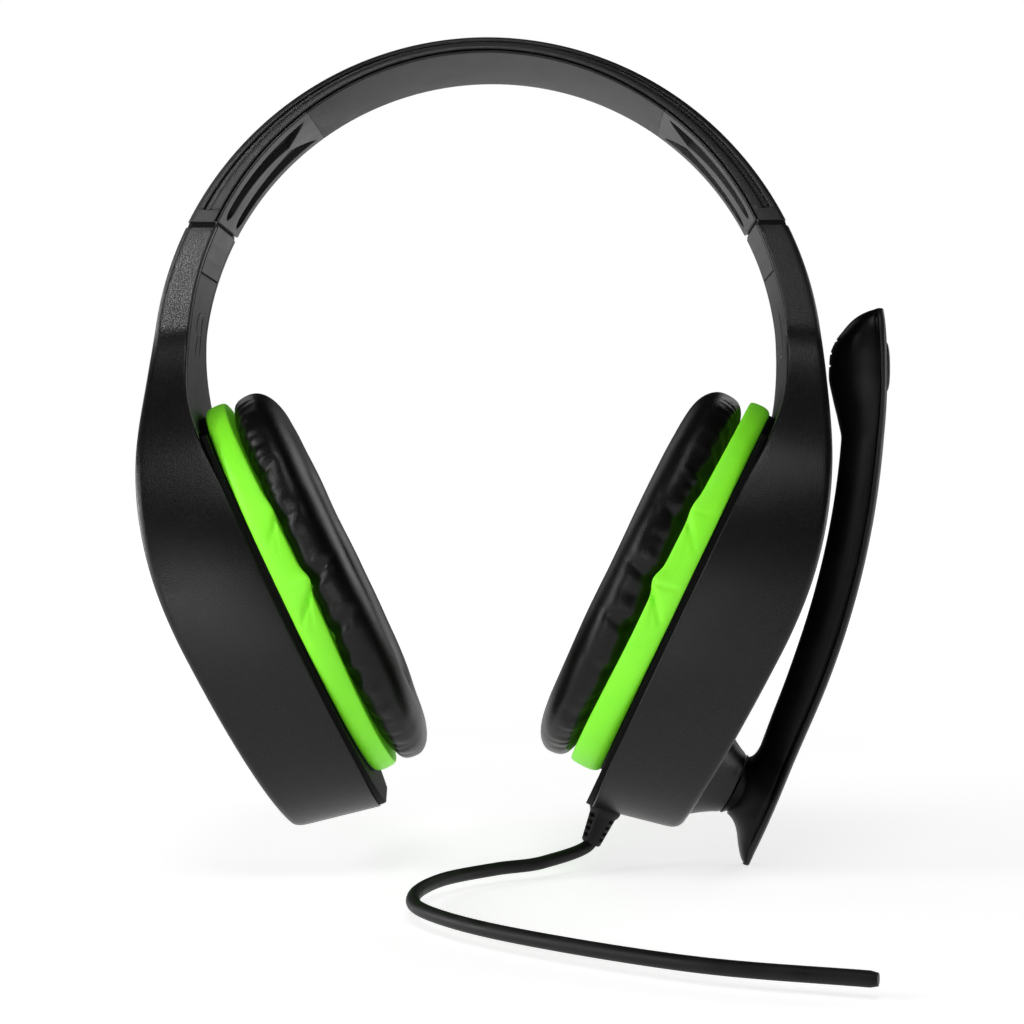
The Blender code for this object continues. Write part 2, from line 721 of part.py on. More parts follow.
def make_driver(cup, side):
    word = left_or_right(side)
    matrix = cup_matrix()
    radius = DRIVER_RADIUS
    frame = ((17, 0), (radius, 0), (radius, 4.5), (6, 4.5), (6, 3.2), (17, 3.2))
    make_part(word + "_driver_frame", turned(frame, matrix, 24), (DARK_GREY, 0.5), cup, side)
    magnet = ((0, 4.8), (11, 4.8), (11, 9.5), (0, 9.5))
    make_part(word + "_driver_magnet", turned(magnet, matrix, 24), (STEEL, 0.4, 1.0), cup, side)
    cone = ((0, -0.2), (9, 0.6), (14, 1.2), (16.5, 1.2), (16.5, 1.6), (14, 1.6), (9, 1.0), (0, 0.2))
    make_part(word + "_driver_diaphragm", turned(cone, matrix, 24), (DARK_GREY, 0.3), cup, side)


def make_scrim(cup, side):
    semi_width, semi_height = EAR_SEMI_WIDTH - 0.6, EAR_SEMI_HEIGHT - 0.6
    rings = [ring_in_cup(semi_width, semi_height, depth, 24) for depth in (2.6, 3.0)]
    make_part(left_or_right(side) + "_scrim", loft(rings), (BLACK, 0.9), cup, side)


def make_cushion_band(cup, side):
    rings = []
    for inset, depth in ((1.4, BAND_FROM), (0, BAND_FROM + 1.4), (0, BAND_TO - 1.4), (1.4, BAND_TO)):
        rings.append(ring_in_cup(BAND_SEMI_WIDTH - inset, BAND_SEMI_HEIGHT - inset, depth))
    for depth in (BAND_TO, BAND_FROM):
        rings.append(ring_in_cup(EAR_SEMI_WIDTH, EAR_SEMI_HEIGHT, depth))
    band = loft(rings, closed=True)
    make_part(left_or_right(side) + "_cushion_band", band, (GREEN, 0.5), cup, side)


def make_cushion(cup, side):
    """A ring with round outer and inner shoulders and a flat face towards the ear."""
    rings = []
    middle = (CUSHION_FROM + CUSHION_TO) / 2
    height = (CUSHION_TO - CUSHION_FROM) / 2
    for degrees in (-90, -45, 0, 45, 90):
        angle = math.radians(degrees)
        inset = ROLL_RADIUS * (1 - math.cos(angle))
        depth = middle + height * math.sin(angle)
        size = (CUSHION_SEMI_WIDTH - inset, CUSHION_SEMI_HEIGHT - inset)
        rings.append(ring_in_cup(*size, depth, drop=CUSHION_DROP))
    for degrees in (90, 0, -90):
        angle = math.radians(degrees)
        outset = ROLL_RADIUS * 0.8 * (1 - math.cos(angle))
        depth = middle + height * math.sin(angle)
        size = (EAR_SEMI_WIDTH + outset, EAR_SEMI_HEIGHT + outset)
        rings.append(ring_in_cup(*size, depth, drop=CUSHION_DROP))
    cushion = loft(rings, closed=True)
    make_part(left_or_right(side) + "_cushion", cushion, (BLACK, 0.45), cup, side)


# ---- microphone boom -------------------------------------------------------------------------


def boom_point(degrees, depth, y):
    angle = math.radians(degrees)
    reach = BOOM_RADIUS - depth
    x = BOOM_CENTRE[0] + reach * math.cos(angle)
    return Vector((x, y, BOOM_CENTRE[1] + reach * math.sin(angle)))


def boom_size(degrees):
    """Thickness and half width at an angle, straight between the stations."""
    for (a0, t0, w0), (a1, t1, w1) in zip(BOOM_STATIONS, BOOM_STATIONS[1:]):
        if degrees <= a1:
            share = (degrees - a0) / (a1 - a0)
            return t0 + (t1 - t0) * share, w0 + (w1 - w0) * share
    return BOOM_STATIONS[-1][1:]


def boom_matrix(degrees, depth=0.0):
    """Z outwards through the boom, from a depth below its outer face."""
    outwards = boom_point(degrees, -1, 0) - boom_point(degrees, 0, 0)
    return frame_along(boom_point(degrees, depth, 0), outwards)


def boom_shell_ring(degrees):
    thickness, width = boom_size(degrees)
    top = BOOM_COVER + BOOM_GROOVE
    tongue_y = width - 1.5
    ring = [(BOOM_COVER + GAP, -tongue_y), (BOOM_COVER + GAP, tongue_y)]
    ring.append((top, tongue_y))
    for turn in steps(0, math.pi, 7):
        ring.append((top + (thickness - top) * math.sin(turn), width * math.cos(turn)))
    ring.append((top, -tongue_y))
    return [boom_point(degrees, depth, y) for depth, y in ring]


def boom_angles(first, last):
    inner = [station[0] for station in BOOM_STATIONS if first < station[0] < last]
    return [first] + inner + [last]


def pivot_matrix():
    return frame_along(PIVOT, PIVOT_AXIS)


def make_boom_shell(boom):
    rings = [boom_shell_ring(angle) for angle in boom_angles(-33.5, 3.9)]
    shell = make_part("boom_shell", loft(rings), (BLACK, 0.35), boom)
    matrix = pivot_matrix()
    flare = ((0, SEAM_GAP), (SOCKET_TOP_RADIUS, SEAM_GAP), (SOCKET_TOP_RADIUS - 0.9, 4.5), (0, 4.5))
    cut(shell, "boom_flare", turned(flare, matrix, 24), boom, 1, "UNION")
    far = SOCKET_TOP_RADIUS + 6
    trim = ((0, SEAM_GAP), (far, SEAM_GAP), (far, -8), (0, -8))
    cut(shell, "boom_seat_cutter", turned(trim, matrix, 24), boom)
    bore_radius, head_radius = PIN_RADIUS + GAP, 4.0
    bore = ((0, -2), (bore_radius, -2), (bore_radius, 3.5), (head_radius, 3.5), (head_radius, 12), (0, 12))
    cut(shell, "boom_pin_bore", turned(bore, matrix, 20), boom)
    pocket = turned(((0, -9.0), (4.9, -9.0), (4.9, 2.0), (0, 2.0)), boom_matrix(MIC_ANGLE), 24)
    cut(shell, "mic_pocket_cutter", pocket, boom)
    for i, angle in enumerate((2.55, 1.65, 0.75)):
        slot = block(boom_matrix(angle, 8.5), (-0.4, -3, -6), (0.4, 3, 1))
        cut(shell, f"grille_slot_{i}", slot, boom)


def boom_cover_ring(degrees):
    thickness, width = boom_size(degrees)
    far = min(BOOM_COVER, thickness)
    crown = 0.25 * far
    half = [(far, width), (crown, width), (0.0, width * 0.55)]
    mirrored = [(depth, -y) for depth, y in reversed(half)]
    return [boom_point(degrees, depth, y) for depth, y in half + mirrored]


def button_outline(grow, depth, count=24):
    """An oval in the pod's outer face, its long side along the boom."""
    matrix = boom_matrix(BUTTON_ANGLE)
    points = []
    for i in range(count):
        angle = 2 * math.pi * i / count
        x = (BUTTON_SEMI_LENGTH + grow) * math.cos(angle)
        y = (BUTTON_SEMI_WIDTH + grow) * math.sin(angle)
        points.append(matrix @ Vector((x, y, -depth)))
    return points


def make_boom_cover(boom):
    rings = [boom_cover_ring(angle) for angle in boom_angles(-34.2, 4.55)]
    cover = make_part("boom_cover", loft(rings), (BLACK, 0.35), boom)
    hole = loft([button_outline(GAP, 4.0), button_outline(GAP, -2.0)])
    cut(cover, "button_hole_cutter", hole, boom)


def make_mute_button(button):
    rings = []
    for grow, depth in ((0, 1.6), (0, -0.3), (-0.7, -0.65), (-1.8, -BUTTON_PROUD)):
        rings.append(button_outline(grow, depth))
    make_part("mute_button", loft(rings), (BLACK, 0.3), button)


def make_mic(boom):
    matrix = boom_matrix(MIC_ANGLE)
    capsule = turned(((0, -7.6), (3.0, -7.6), (3.0, -4.8), (0, -4.8)), matrix, 20)
    make_part("mic_capsule", capsule, (STEEL, 0.3, 1.0), boom)
    boot = turned(((3.3, -8.7), (3.3, -4.0), (4.6, -4.0), (4.6, -8.7)), matrix, 20)
    make_part("mic_boot", boot, (BLACK, 0.8), boom)
    board = turned(((0, -3.6), (4.5, -3.6), (4.5, -2.9), (0, -2.9)), matrix, 20)
    make_part("mic_board", board, (COPPER_GREEN, 0.5), boom)


def make_pivot(arm, boom, shell):
    matrix = pivot_matrix()
    base, top = -SOCKET_LENGTH, -SEAM_GAP
    spigot = SPIGOT_RADIUS
    bore = PIN_RADIUS + 0.3
    socket = turned(
        (
            (bore, -0.75),
            (5.6, -0.75),
            (5.6, top),
            (SOCKET_TOP_RADIUS, top),
            (SOCKET_BASE_RADIUS, base),
            (spigot, base),
            (spigot, base - 4.5),
            (bore, base - 4.5),
        ),
        matrix,
        24,
    )
    make_part("boom_socket", socket, (BLACK, 0.42), arm)
    seat = turned(
        ((0, 0), (SOCKET_BASE_RADIUS + GAP, 0), (SOCKET_BASE_RADIUS + GAP, base - GAP),
         (spigot + GAP, base - GAP), (spigot + GAP, base - 8), (0, base - 8)),
        matrix,
        24,
    )
    cut(shell, "socket_seat_cutter", seat, arm)
    washer = turned(((2.4, -0.6), (5.2, -0.6), (5.2, -0.2), (2.4, -0.2)), matrix, 24)
    make_part("boom_washer", washer, (STEEL, 0.35, 1.0), arm)
    r = PIN_RADIUS
    end = base - 5.0
    pin = ((0, 5.0), (3.4, 5.0), (3.4, 3.8), (r, 3.8), (r, end), (3.2, end), (3.2, end - 0.8), (0, end - 0.8))
    make_part("boom_pin", turned(pin, matrix, 20), (STEEL, 0.3, 1.0), boom)


# ---- cable -----------------------------------------------------------------------------------


def relief_matrix():
    return frame_along(RELIEF_TOP, RELIEF_AXIS)


def make_strain_relief(arm, shell):
    """A neck through the cup's wall and a ribbed sleeve outside it."""
    profile = [(0, -3.4), (2.2, -3.4), (2.2, 0.5), (3.1, 0.5)]
    rib, gap = 1.1, 0.9
    at = 2.4
    while at + gap < RELIEF_LENGTH - 1.0:
        profile += [(3.05, at), (2.45, at + 0.1), (2.45, at + gap - 0.1), (3.0, at + gap)]
        at += rib + gap
    profile += [(2.7, RELIEF_LENGTH), (0, RELIEF_LENGTH)]
    make_part("strain_relief", turned(profile, relief_matrix(), 12), (BLACK, 0.6), arm)
    hole = turned(((0, -8), (0, 12), (2.5, 12), (2.5, -8)), relief_matrix(), 20)
    cut(shell, "cable_hole_cutter", hole, arm)


def cable_path():
    """Points along the cable: out of the sleeve, then in a loose curve along the table."""
    start = RELIEF_TOP + RELIEF_AXIS * (RELIEF_LENGTH + GAP)
    table = [Vector(point) for point in CABLE_POINTS]
    knots = [table[0] - RELIEF_AXIS * CABLE_EXIT_PULL, start] + table
    knots.append(knots[-1] * 2 - knots[-2])
    path = [start]
    for before, first, second, after in zip(knots, knots[1:], knots[2:], knots[3:]):
        for t in steps(0, 1, 6)[1:]:
            path.append(catmull_rom(before, first, second, after, t))
    return path


def catmull_rom(before, first, second, after, t):
    return 0.5 * (
        2 * first
        + (second - before) * t
        + (2 * before - 5 * first + 4 * second - after) * t**2
        + (3 * first - before - 3 * second + after) * t**3
    )


def make_cable(arm):
    path = cable_path()
    rings = []
    for i, point in enumerate(path):
        direction = path[min(i + 1, len(path) - 1)] - path[max(i - 1, 0)]
        direction = direction.normalized() if i else RELIEF_AXIS
        across = Vector((0, 0, 1)).cross(direction).normalized() * CABLE_RADIUS
        upwards = direction.cross(across)
        ring = []
        for angle in steps(0, 2 * math.pi, 8)[:-1]:
            ring.append(point + across * math.cos(angle) + upwards * math.sin(angle))
        rings.append(ring)
    make_part("cable", loft(rings), (BLACK, 0.5), arm)


def make_terminal_board(cup):
    matrix = cup_matrix() @ Matrix.Translation((-16, -27, 6.0))
    board = block(matrix, (-8, -5, 0.0), (8, 5, 1.2))
    make_part("terminal_board", board, (COPPER_GREEN, 0.5), cup)


# ---- the whole headset -----------------------------------------------------------------------


def mirrored_frame(matrix, side):
    """The same place on the other side, kept right-handed by turning its X round."""
    if side > 0:
        return matrix
    flip = Matrix.Diagonal((-1, 1, 1, 1))
    return flip @ matrix @ flip


def make_side(root, side):
    word = left_or_right(side)
    arm = make_empty(word + "_arm_slide", mirrored_frame(slide_matrix(), side), root)
    cup = make_empty(word + "_cup_rim", mirrored_frame(cup_matrix(), side), arm)
    shell = make_shell(arm, side)
    make_slider_guide(arm, side)
    make_arm_cover(arm, side)
    make_detent_spring(arm, side)
    make_baffle(cup, side)
    make_driver(cup, side)
    make_scrim(cup, side)
    make_cushion_band(cup, side)
    make_cushion(cup, side)
    return arm, cup, shell


def main():
    clear_scene()
    root = make_empty("headband_frame", Matrix.Identity(4))
    make_headband_shell(root)
    make_headband_pad(root)
    make_headband_spring(root)
    for side in (1, -1):
        make_vent_panel(root, side)
        make_slider_strip(root, side)
    left_arm, left_cup, left_shell = make_side(root, 1)
    make_side(root, -1)
    boom = make_empty("boom_pivot", pivot_matrix(), left_arm)
    make_pivot(left_arm, boom, left_shell)
    make_boom_shell(boom)
    make_boom_cover(boom)
    make_mic(boom)
    button = make_empty("mute_button_axis", boom_matrix(BUTTON_ANGLE), boom)
    make_mute_button(button)
    make_terminal_board(left_cup)
    make_strain_relief(left_arm, left_shell)
    make_cable(left_arm)


main()
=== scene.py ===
"""Looks of the gaming headset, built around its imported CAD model.

The shape functions repeat the CAD model's curves in the left side's millimetres, with finer steps, and
the right side is their mirror image. -Y is the way the wearer faces, +Z is up.
"""

import math

import bmesh
import bpy
import numpy as np
from mathutils import Matrix, Vector, noise


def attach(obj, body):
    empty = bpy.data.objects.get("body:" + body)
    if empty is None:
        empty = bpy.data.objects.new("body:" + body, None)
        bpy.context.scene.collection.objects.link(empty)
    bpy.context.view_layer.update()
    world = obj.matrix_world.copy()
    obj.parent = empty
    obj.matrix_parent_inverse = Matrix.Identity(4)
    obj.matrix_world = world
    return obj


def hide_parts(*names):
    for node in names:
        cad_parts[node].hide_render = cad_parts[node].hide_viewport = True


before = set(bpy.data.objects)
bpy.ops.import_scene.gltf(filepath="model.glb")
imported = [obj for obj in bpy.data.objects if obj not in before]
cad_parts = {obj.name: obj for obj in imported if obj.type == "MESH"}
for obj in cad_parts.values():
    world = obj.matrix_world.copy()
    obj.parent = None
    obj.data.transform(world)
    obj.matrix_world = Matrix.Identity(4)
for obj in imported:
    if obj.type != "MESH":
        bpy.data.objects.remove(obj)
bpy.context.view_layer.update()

MM = 0.001
GAP = 0.3

# Headband
BAND_OUTER_RADIUS, BAND_OUTER_CENTRE = 80.3, -76.5
BAND_INNER_RADIUS, BAND_INNER_CENTRE = 71.3, -71.3
BAND_HALF_WIDTH, BAND_NARROWING = 18.25, 6.25
BAND_NARROW_ANGLE = math.radians(83)
JUNCTION_Z, GUIDE_END_Z = -39.6, -50.4
BAND_WALL, FLANGE_WIDTH = 1.2, 3.2
LINER_LIP, SHADOW_GAP = 0.5, 0.35
GROOVE_DEPTH = 1.5
GROOVE_FROM, GROOVE_TO, GROOVE_END = 0.34, 0.56, 0.955
PAD_END = 0.563
BAND_END = 0.994
SLOT_START, SLOT_SLANT, SLOT_END = 0.588, 0.085, 0.972
SLOT_INNER_Y, SLOT_OUTER_Y = 3.6, 11.0
SLOT_ROUND_FROM, SLOT_COLUMNS = 0.9, 6
SLOT_DEPTH, SLOT_BEVEL = 1.6, 0.18
PANEL_START, PANEL_STEM, PAD_STEM_TOP = PAD_END + 0.0012, 1.5, 2.5
GROOVE_LIP, BAND_EDGE_RADIUS, LINER_EDGE_RADIUS = 0.34, 1.1, 0.3

# Arm and ear cup
WALL = 2.0
ARM_BLEND_RADIUS = 140.0
CUP_OUTER_TILT, CUP_TILT = math.radians(27), math.radians(25.5)
INNER_BLEND_RADIUS = 45.0
RIM_OFFSET = 100.27
TOE = math.tan(math.radians(4.5))
TOE_START_Z, TOE_FULL_Z = -68.0, -90.0
OUTER_BOTTOM_Z, INNER_BOTTOM_Z = -183.2, -178.2
CUP_HALF_WIDTH, CUP_HALF_HEIGHT, CUP_CENTRE_Z = 42.0, 52.2, -130.0
OUTER_SWELL, SWELL_START_Z, SWELL_FULL_Z = 2.0, -75.0, -130.0
CUP_ROUNDNESS = 2.3
NECK_Z, SHOULDER_Z = -63.0, -96.0
EDGE_RADIUS = 1.6
ARM_DOME, CUP_DOME = 0.5, 2.0
COVER_THICKNESS, COVER_END_Z = 1.3, -89.9
ARM_START = 0.0035
BOTTOM_RADIUS = 1.5
LETTER_TOP_Z, LETTER_BOTTOM_Z, LETTER_HALF_WIDTH = -59.6, -70.0, 3.4
STROKE_WIDTH, STROKE_HEIGHT = 0.9, 0.22

# Ear cushion
CUP_ORIGIN = Vector((49.84, 0.0, -128.4))
SEAM_SHIFT = 1.1
BAFFLE_FROM, BAFFLE_TO, BAFFLE_INSET = 0.4, 1.7, 1.3
RIM_RISE, RIM_TURN, RIM_TURN_REACH = 0.5, 0.8, 12.0
BAND_FROM, BAND_TO = 2.0, 8.6
BAND_SEMI_HEIGHT, BAND_SEMI_WIDTH = 48.6, 42.0
CUSHION_FROM, CUSHION_TO, CUSHION_DROP, CUSHION_SHRINK = 8.9, 20.5, 0.6, 0.97
CUSHION_SEMI_HEIGHT, CUSHION_SEMI_WIDTH = 49.0, 42.5
EAR_SEMI_HEIGHT, EAR_SEMI_WIDTH = 28.0, 21.0
SCRIM_INWARDS = 2.9
BAND_AROUND = 520
CUSHION_AROUND, CUSHION_ACROSS = 320, 48
MOST_INFLATION, SMOOTHING_PASSES, SIM_SCALE, SIM_STEPS = 0.7, 12, 10.0, 20
SEAM_TURN = -1.25
# (mm up the cushion's front, depth, half width, how far it runs round the side wall in radians)
CREASES = (
    (-1.0, 1.5, 1.4, 1.0),
    (-13.5, 1.3, 1.3, 0.9),
    (14.0, 0.7, 1.3, 0.8),
    (-25.0, 0.6, 1.1, 0.7),
    (26.0, 0.5, 1.2, 0.7),
)

# Microphone boom
BOOM_RADIUS = 205.0
BOOM_CENTRE = (-108.6, -75.0)
BOOM_COVER, BOOM_GROOVE = 2.2, 0.7
TIP_RADIUS = 1.3
TAIL_START, TAIL_STRAIGHTENING = -24.0, 0.035
PIVOT = Vector((59.6, 0.0, -173.9))
PIVOT_AXIS = Vector((0.899, 0.0, -0.438)).normalized()
SOCKET_LENGTH = 9.2
SOCKET_BASE_RADIUS, SOCKET_TOP_RADIUS = 13.4, 7.7
SEAM_GAP = 0.15
# (angle on the arc in degrees, thickness, half width)
BOOM_STATIONS = (
    (-34.75, 1.0, 1.3),
    (-34.6, 2.1, 2.2),
    (-34.3, 3.2, 3.2),
    (-33.6, 5.0, 4.8),
    (-32.6, 6.9, 6.8),
    (-31.4, 8.0, 7.9),
    (-30.2, 8.5, 8.1),
    (-28.6, 8.6, 7.2),
    (-27.2, 8.8, 5.9),
    (-24.0, 9.4, 5.0),
    (-19.0, 9.9, 4.7),
    (-13.0, 10.0, 4.6),
    (-7.5, 10.0, 4.6),
    (-4.6, 10.0, 5.0),
    (-3.2, 11.1, 6.2),
    (-1.6, 12.6, 7.4),
    (0.0, 13.6, 8.0),
    (1.4, 13.3, 8.0),
    (2.6, 11.6, 7.8),
    (3.2, 9.9, 7.4),
    (3.8, 7.9, 6.6),
    (4.15, 6.2, 5.7),
    (4.42, 4.0, 4.6),
    (4.55, 2.0, 3.4),
)
BUTTON_ANGLE = 0.63
BUTTON_SEMI_LENGTH, BUTTON_SEMI_WIDTH, BUTTON_PROUD = 6.2, 3.9, 0.9
BUTTON_RECESS, GRILLE_HALF_LENGTH = 1.9, 3.4

# Cable
RELIEF_AXIS = Vector((-0.40, -0.10, -0.91)).normalized()
RELIEF_TOP = Vector((29.4, -10.5, -176.4)) + RELIEF_AXIS * 2.2
RELIEF_LENGTH, RELIEF_COLLAR, RELIEF_SLOTS, RELIEF_SEGMENTS = 9.3, 1.9, 4, 48
CABLE_RADIUS, CABLE_EXIT_PULL = 1.5, 14.0
CABLE_POINTS = (
    (14.0, -21.5, -189.6),
    (3.0, -29.0, -190.0),
    (-8.5, -43.0, -190.0),
    (-13.3, -62.0, -190.0),
    (-9.5, -80.0, -190.0),
    (8.3, -102.0, -190.0),
    (42.0, -127.0, -190.0),
    (74.0, -138.5, -190.0),
)
FLOOR_Z, FLOOR_REACH = -193.6, 12.0


# ---- shape of the headband and the arms ------------------------------------------------------


def steps(start, end, count):
    return [start + (end - start) * i / (count - 1) for i in range(count)]


def clamp(value, low=0.0, high=1.0):
    return min(high, max(low, value))


def smooth(value):
    value = clamp(value)
    return value * value * (3 - 2 * value)


def inner_reach(angle):
    """Distance from the outer circle's centre to the inner circle at an angle from the crown."""
    shift = BAND_INNER_CENTRE - BAND_OUTER_CENTRE
    across = shift * math.sin(angle)
    return shift * math.cos(angle) + math.sqrt(BAND_INNER_RADIUS**2 - across**2)


def junction_angles():
    height = JUNCTION_Z - BAND_OUTER_CENTRE
    outer = math.acos(height / BAND_OUTER_RADIUS)
    inner_height = JUNCTION_Z - BAND_INNER_CENTRE
    inner_x = math.sqrt(BAND_INNER_RADIUS**2 - inner_height**2)
    return outer, math.atan2(inner_x, height)


OUTER_END_ANGLE, INNER_END_ANGLE = junction_angles()
BAND_ARC = OUTER_END_ANGLE * BAND_OUTER_RADIUS


def band_section(share):
    """Outer point, unit vector inwards and thickness, from the crown (0) to a junction (-1, 1)."""
    outer_angle = share * OUTER_END_ANGLE
    inner_angle = share * INNER_END_ANGLE
    reach = inner_reach(inner_angle)
    centre = Vector((0, 0, BAND_OUTER_CENTRE))
    outer = centre + BAND_OUTER_RADIUS * Vector((math.sin(outer_angle), 0, math.cos(outer_angle)))
    inner = centre + reach * Vector((math.sin(inner_angle), 0, math.cos(inner_angle)))
    return outer, (inner - outer).normalized(), (inner - outer).length


def band_point(share, depth, y):
    outer, inwards, _ = band_section(share)
    point = outer + inwards * depth
    point.y = y
    return point


def band_half_width(z):
    angle = math.acos(min(1.0, (z - BAND_OUTER_CENTRE) / BAND_OUTER_RADIUS))
    return BAND_HALF_WIDTH - BAND_NARROWING * (angle / BAND_NARROW_ANGLE) ** 1.6


def cup_half_width(z):
    height = abs(z - CUP_CENTRE_Z) / CUP_HALF_HEIGHT
    return CUP_HALF_WIDTH * max(0.0, 1 - height**CUP_ROUNDNESS) ** (1 / CUP_ROUNDNESS)


def half_width(z):
    """Half the size in Y: the band's taper, a smooth shoulder, then the cup."""
    if z > NECK_Z:
        return band_half_width(z)
    if z < SHOULDER_Z:
        return cup_half_width(z)
    span = NECK_Z - SHOULDER_Z
    along = (NECK_Z - z) / span
    start, end = band_half_width(NECK_Z), cup_half_width(SHOULDER_Z)
    start_slope = (band_half_width(NECK_Z) - band_half_width(NECK_Z + 1)) * span
    end_slope = (cup_half_width(SHOULDER_Z - 1) - cup_half_width(SHOULDER_Z)) * span
    return (
        start
        + (end - start) * smooth(along)
        + start_slope * along * (1 - along) ** 2
        - end_slope * along * along * (1 - along)
    )


def outer_x(z):
    """The outer curve of the arm and the cup: the band's circle, a wide arc, a straight line."""
    if z > BAND_OUTER_CENTRE:
        return math.sqrt(BAND_OUTER_RADIUS**2 - (z - BAND_OUTER_CENTRE) ** 2)
    drop = BAND_OUTER_CENTRE - z
    arc_drop = ARM_BLEND_RADIUS * math.sin(CUP_OUTER_TILT)
    on_arc = min(drop, arc_drop)
    arc_x = BAND_OUTER_RADIUS - ARM_BLEND_RADIUS + math.sqrt(ARM_BLEND_RADIUS**2 - on_arc**2)
    swell = OUTER_SWELL * smooth((SWELL_START_Z - z) / (SWELL_START_Z - SWELL_FULL_Z))
    return arc_x - max(0.0, drop - arc_drop) * math.tan(CUP_OUTER_TILT) + swell


def inner_blend():
    """Centre of the arc that joins the band's inner circle to the rim plane, and where it starts."""
    offset = BAND_INNER_RADIUS - INNER_BLEND_RADIUS
    wanted = RIM_OFFSET + BAND_INNER_CENTRE * math.sin(CUP_TILT) - INNER_BLEND_RADIUS
    angle = CUP_TILT - math.acos(wanted / offset)
    return offset * math.cos(angle), BAND_INNER_CENTRE - offset * math.sin(angle), angle


def inner_x(z):
    """The inner curve at Y = 0: the band's inner circle, a tight arc, then the rim plane."""
    centre_x, centre_z, start_angle = inner_blend()
    arc_start = BAND_INNER_CENTRE - BAND_INNER_RADIUS * math.sin(start_angle)
    arc_end = centre_z - INNER_BLEND_RADIUS * math.sin(CUP_TILT)
    if z > arc_start:
        return math.sqrt(BAND_INNER_RADIUS**2 - (z - BAND_INNER_CENTRE) ** 2)
    if z > arc_end:
        return centre_x + math.sqrt(INNER_BLEND_RADIUS**2 - (z - centre_z) ** 2)
    return (RIM_OFFSET + z * math.sin(CUP_TILT)) / math.cos(CUP_TILT)


def arm_section(along):
    """Inner point, outer point and half width, from the junction (0) to the cup's bottom (1)."""
    inner_z = JUNCTION_Z + (INNER_BOTTOM_Z - JUNCTION_Z) * along
    outer_z = JUNCTION_Z + (OUTER_BOTTOM_Z - JUNCTION_Z) * along
    inner = Vector((inner_x(inner_z), 0, inner_z))
    outer = Vector((outer_x(outer_z), 0, outer_z))
    return inner, outer, half_width((inner_z + outer_z) / 2)


def arm_share(inner_z):
    return (inner_z - JUNCTION_Z) / (INNER_BOTTOM_Z - JUNCTION_Z)


def arm_point(along, from_inner, y):
    """A point so many millimetres outwards from the inner curve, with the cup's toe-in."""
    inner, outer, _ = arm_section(along)
    direction = (outer - inner).normalized()
    point = inner + direction * from_inner
    turn = clamp((TOE_START_Z - inner.z) / (TOE_START_Z - TOE_FULL_Z))
    fade = 1 - from_inner / (outer - inner).length
    point.x += TOE * turn * fade * y
    point.y = y
    return point


def shell_stations(start, end, count):
    """Stations that crowd together towards the bottom, where the outline turns fastest."""
    return [start + (end - start) * (1 - (1 - t) ** 1.35) for t in steps(0, 1, count)]


def flange_depth(share):
    return band_section(share)[2] - LINER_LIP - SHADOW_GAP


def cup_axes():
    """Unit vectors of the cup: backwards, up along the rim, and out of the cup."""
    up = Vector((math.sin(CUP_TILT), 0, math.cos(CUP_TILT)))
    tilt = Vector((math.cos(CUP_TILT), 0, -math.sin(CUP_TILT)))
    turn = math.atan(TOE * math.cos(CUP_TILT))
    back = Vector((0, 1, 0)) * math.cos(turn) + tilt * math.sin(turn)
    out = tilt * math.cos(turn) - Vector((0, 1, 0)) * math.sin(turn)
    return back, up, out


CUP_BACK, CUP_UP, CUP_OUT = cup_axes()


def cup_point(forward, up, inwards):
    """Cup coordinates: backwards, up along the rim, inwards to the ear."""
    return CUP_ORIGIN + CUP_BACK * forward + CUP_UP * up - CUP_OUT * inwards


def superellipse(angle, semi_x, semi_y, power=CUP_ROUNDNESS):
    cosine, sine = math.cos(angle), math.sin(angle)
    reach = (abs(cosine) ** power + abs(sine) ** power) ** (-1 / power)
    return semi_x * reach * cosine, semi_y * reach * sine


def boom_point(degrees, depth, y):
    """A point under the boom's outer face, which is an arc that runs straighter at the tail."""
    angle = math.radians(degrees)
    reach = BOOM_RADIUS - depth + TAIL_STRAIGHTENING * max(0.0, TAIL_START - degrees) ** 2
    x = BOOM_CENTRE[0] + reach * math.cos(angle)
    return Vector((x, y, BOOM_CENTRE[1] + reach * math.sin(angle)))


def slopes(column):
    """Slopes at the boom's stations that never overshoot them."""
    gaps = [b[0] - a[0] for a, b in zip(BOOM_STATIONS, BOOM_STATIONS[1:])]
    rises = [(b[column] - a[column]) / gap for a, b, gap in zip(BOOM_STATIONS, BOOM_STATIONS[1:], gaps)]
    found = [rises[0]]
    for i in range(1, len(rises)):
        before, after = rises[i - 1], rises[i]
        if before * after <= 0:
            found.append(0.0)
            continue
        first = 2 * gaps[i] + gaps[i - 1]
        second = gaps[i] + 2 * gaps[i - 1]
        found.append((first + second) / (first / before + second / after))
    return found + [rises[-1]]


BOOM_SLOPES = {column: slopes(column) for column in (1, 2)}


def boom_size(degrees):
    """Thickness and half width at an angle, on a smooth curve through the stations."""
    degrees = clamp(degrees, BOOM_STATIONS[0][0], BOOM_STATIONS[-1][0])
    i = 0
    while degrees > BOOM_STATIONS[i + 1][0]:
        i += 1
    a, b = BOOM_STATIONS[i], BOOM_STATIONS[i + 1]
    span = b[0] - a[0]
    t = (degrees - a[0]) / span
    sizes = []
    for column in (1, 2):
        slope_a, slope_b = BOOM_SLOPES[column][i], BOOM_SLOPES[column][i + 1]
        value = (2 * t**3 - 3 * t**2 + 1) * a[column] + (3 * t**2 - 2 * t**3) * b[column]
        value += span * ((t**3 - 2 * t**2 + t) * slope_a + (t**3 - t**2) * slope_b)
        sizes.append(value)
    return sizes


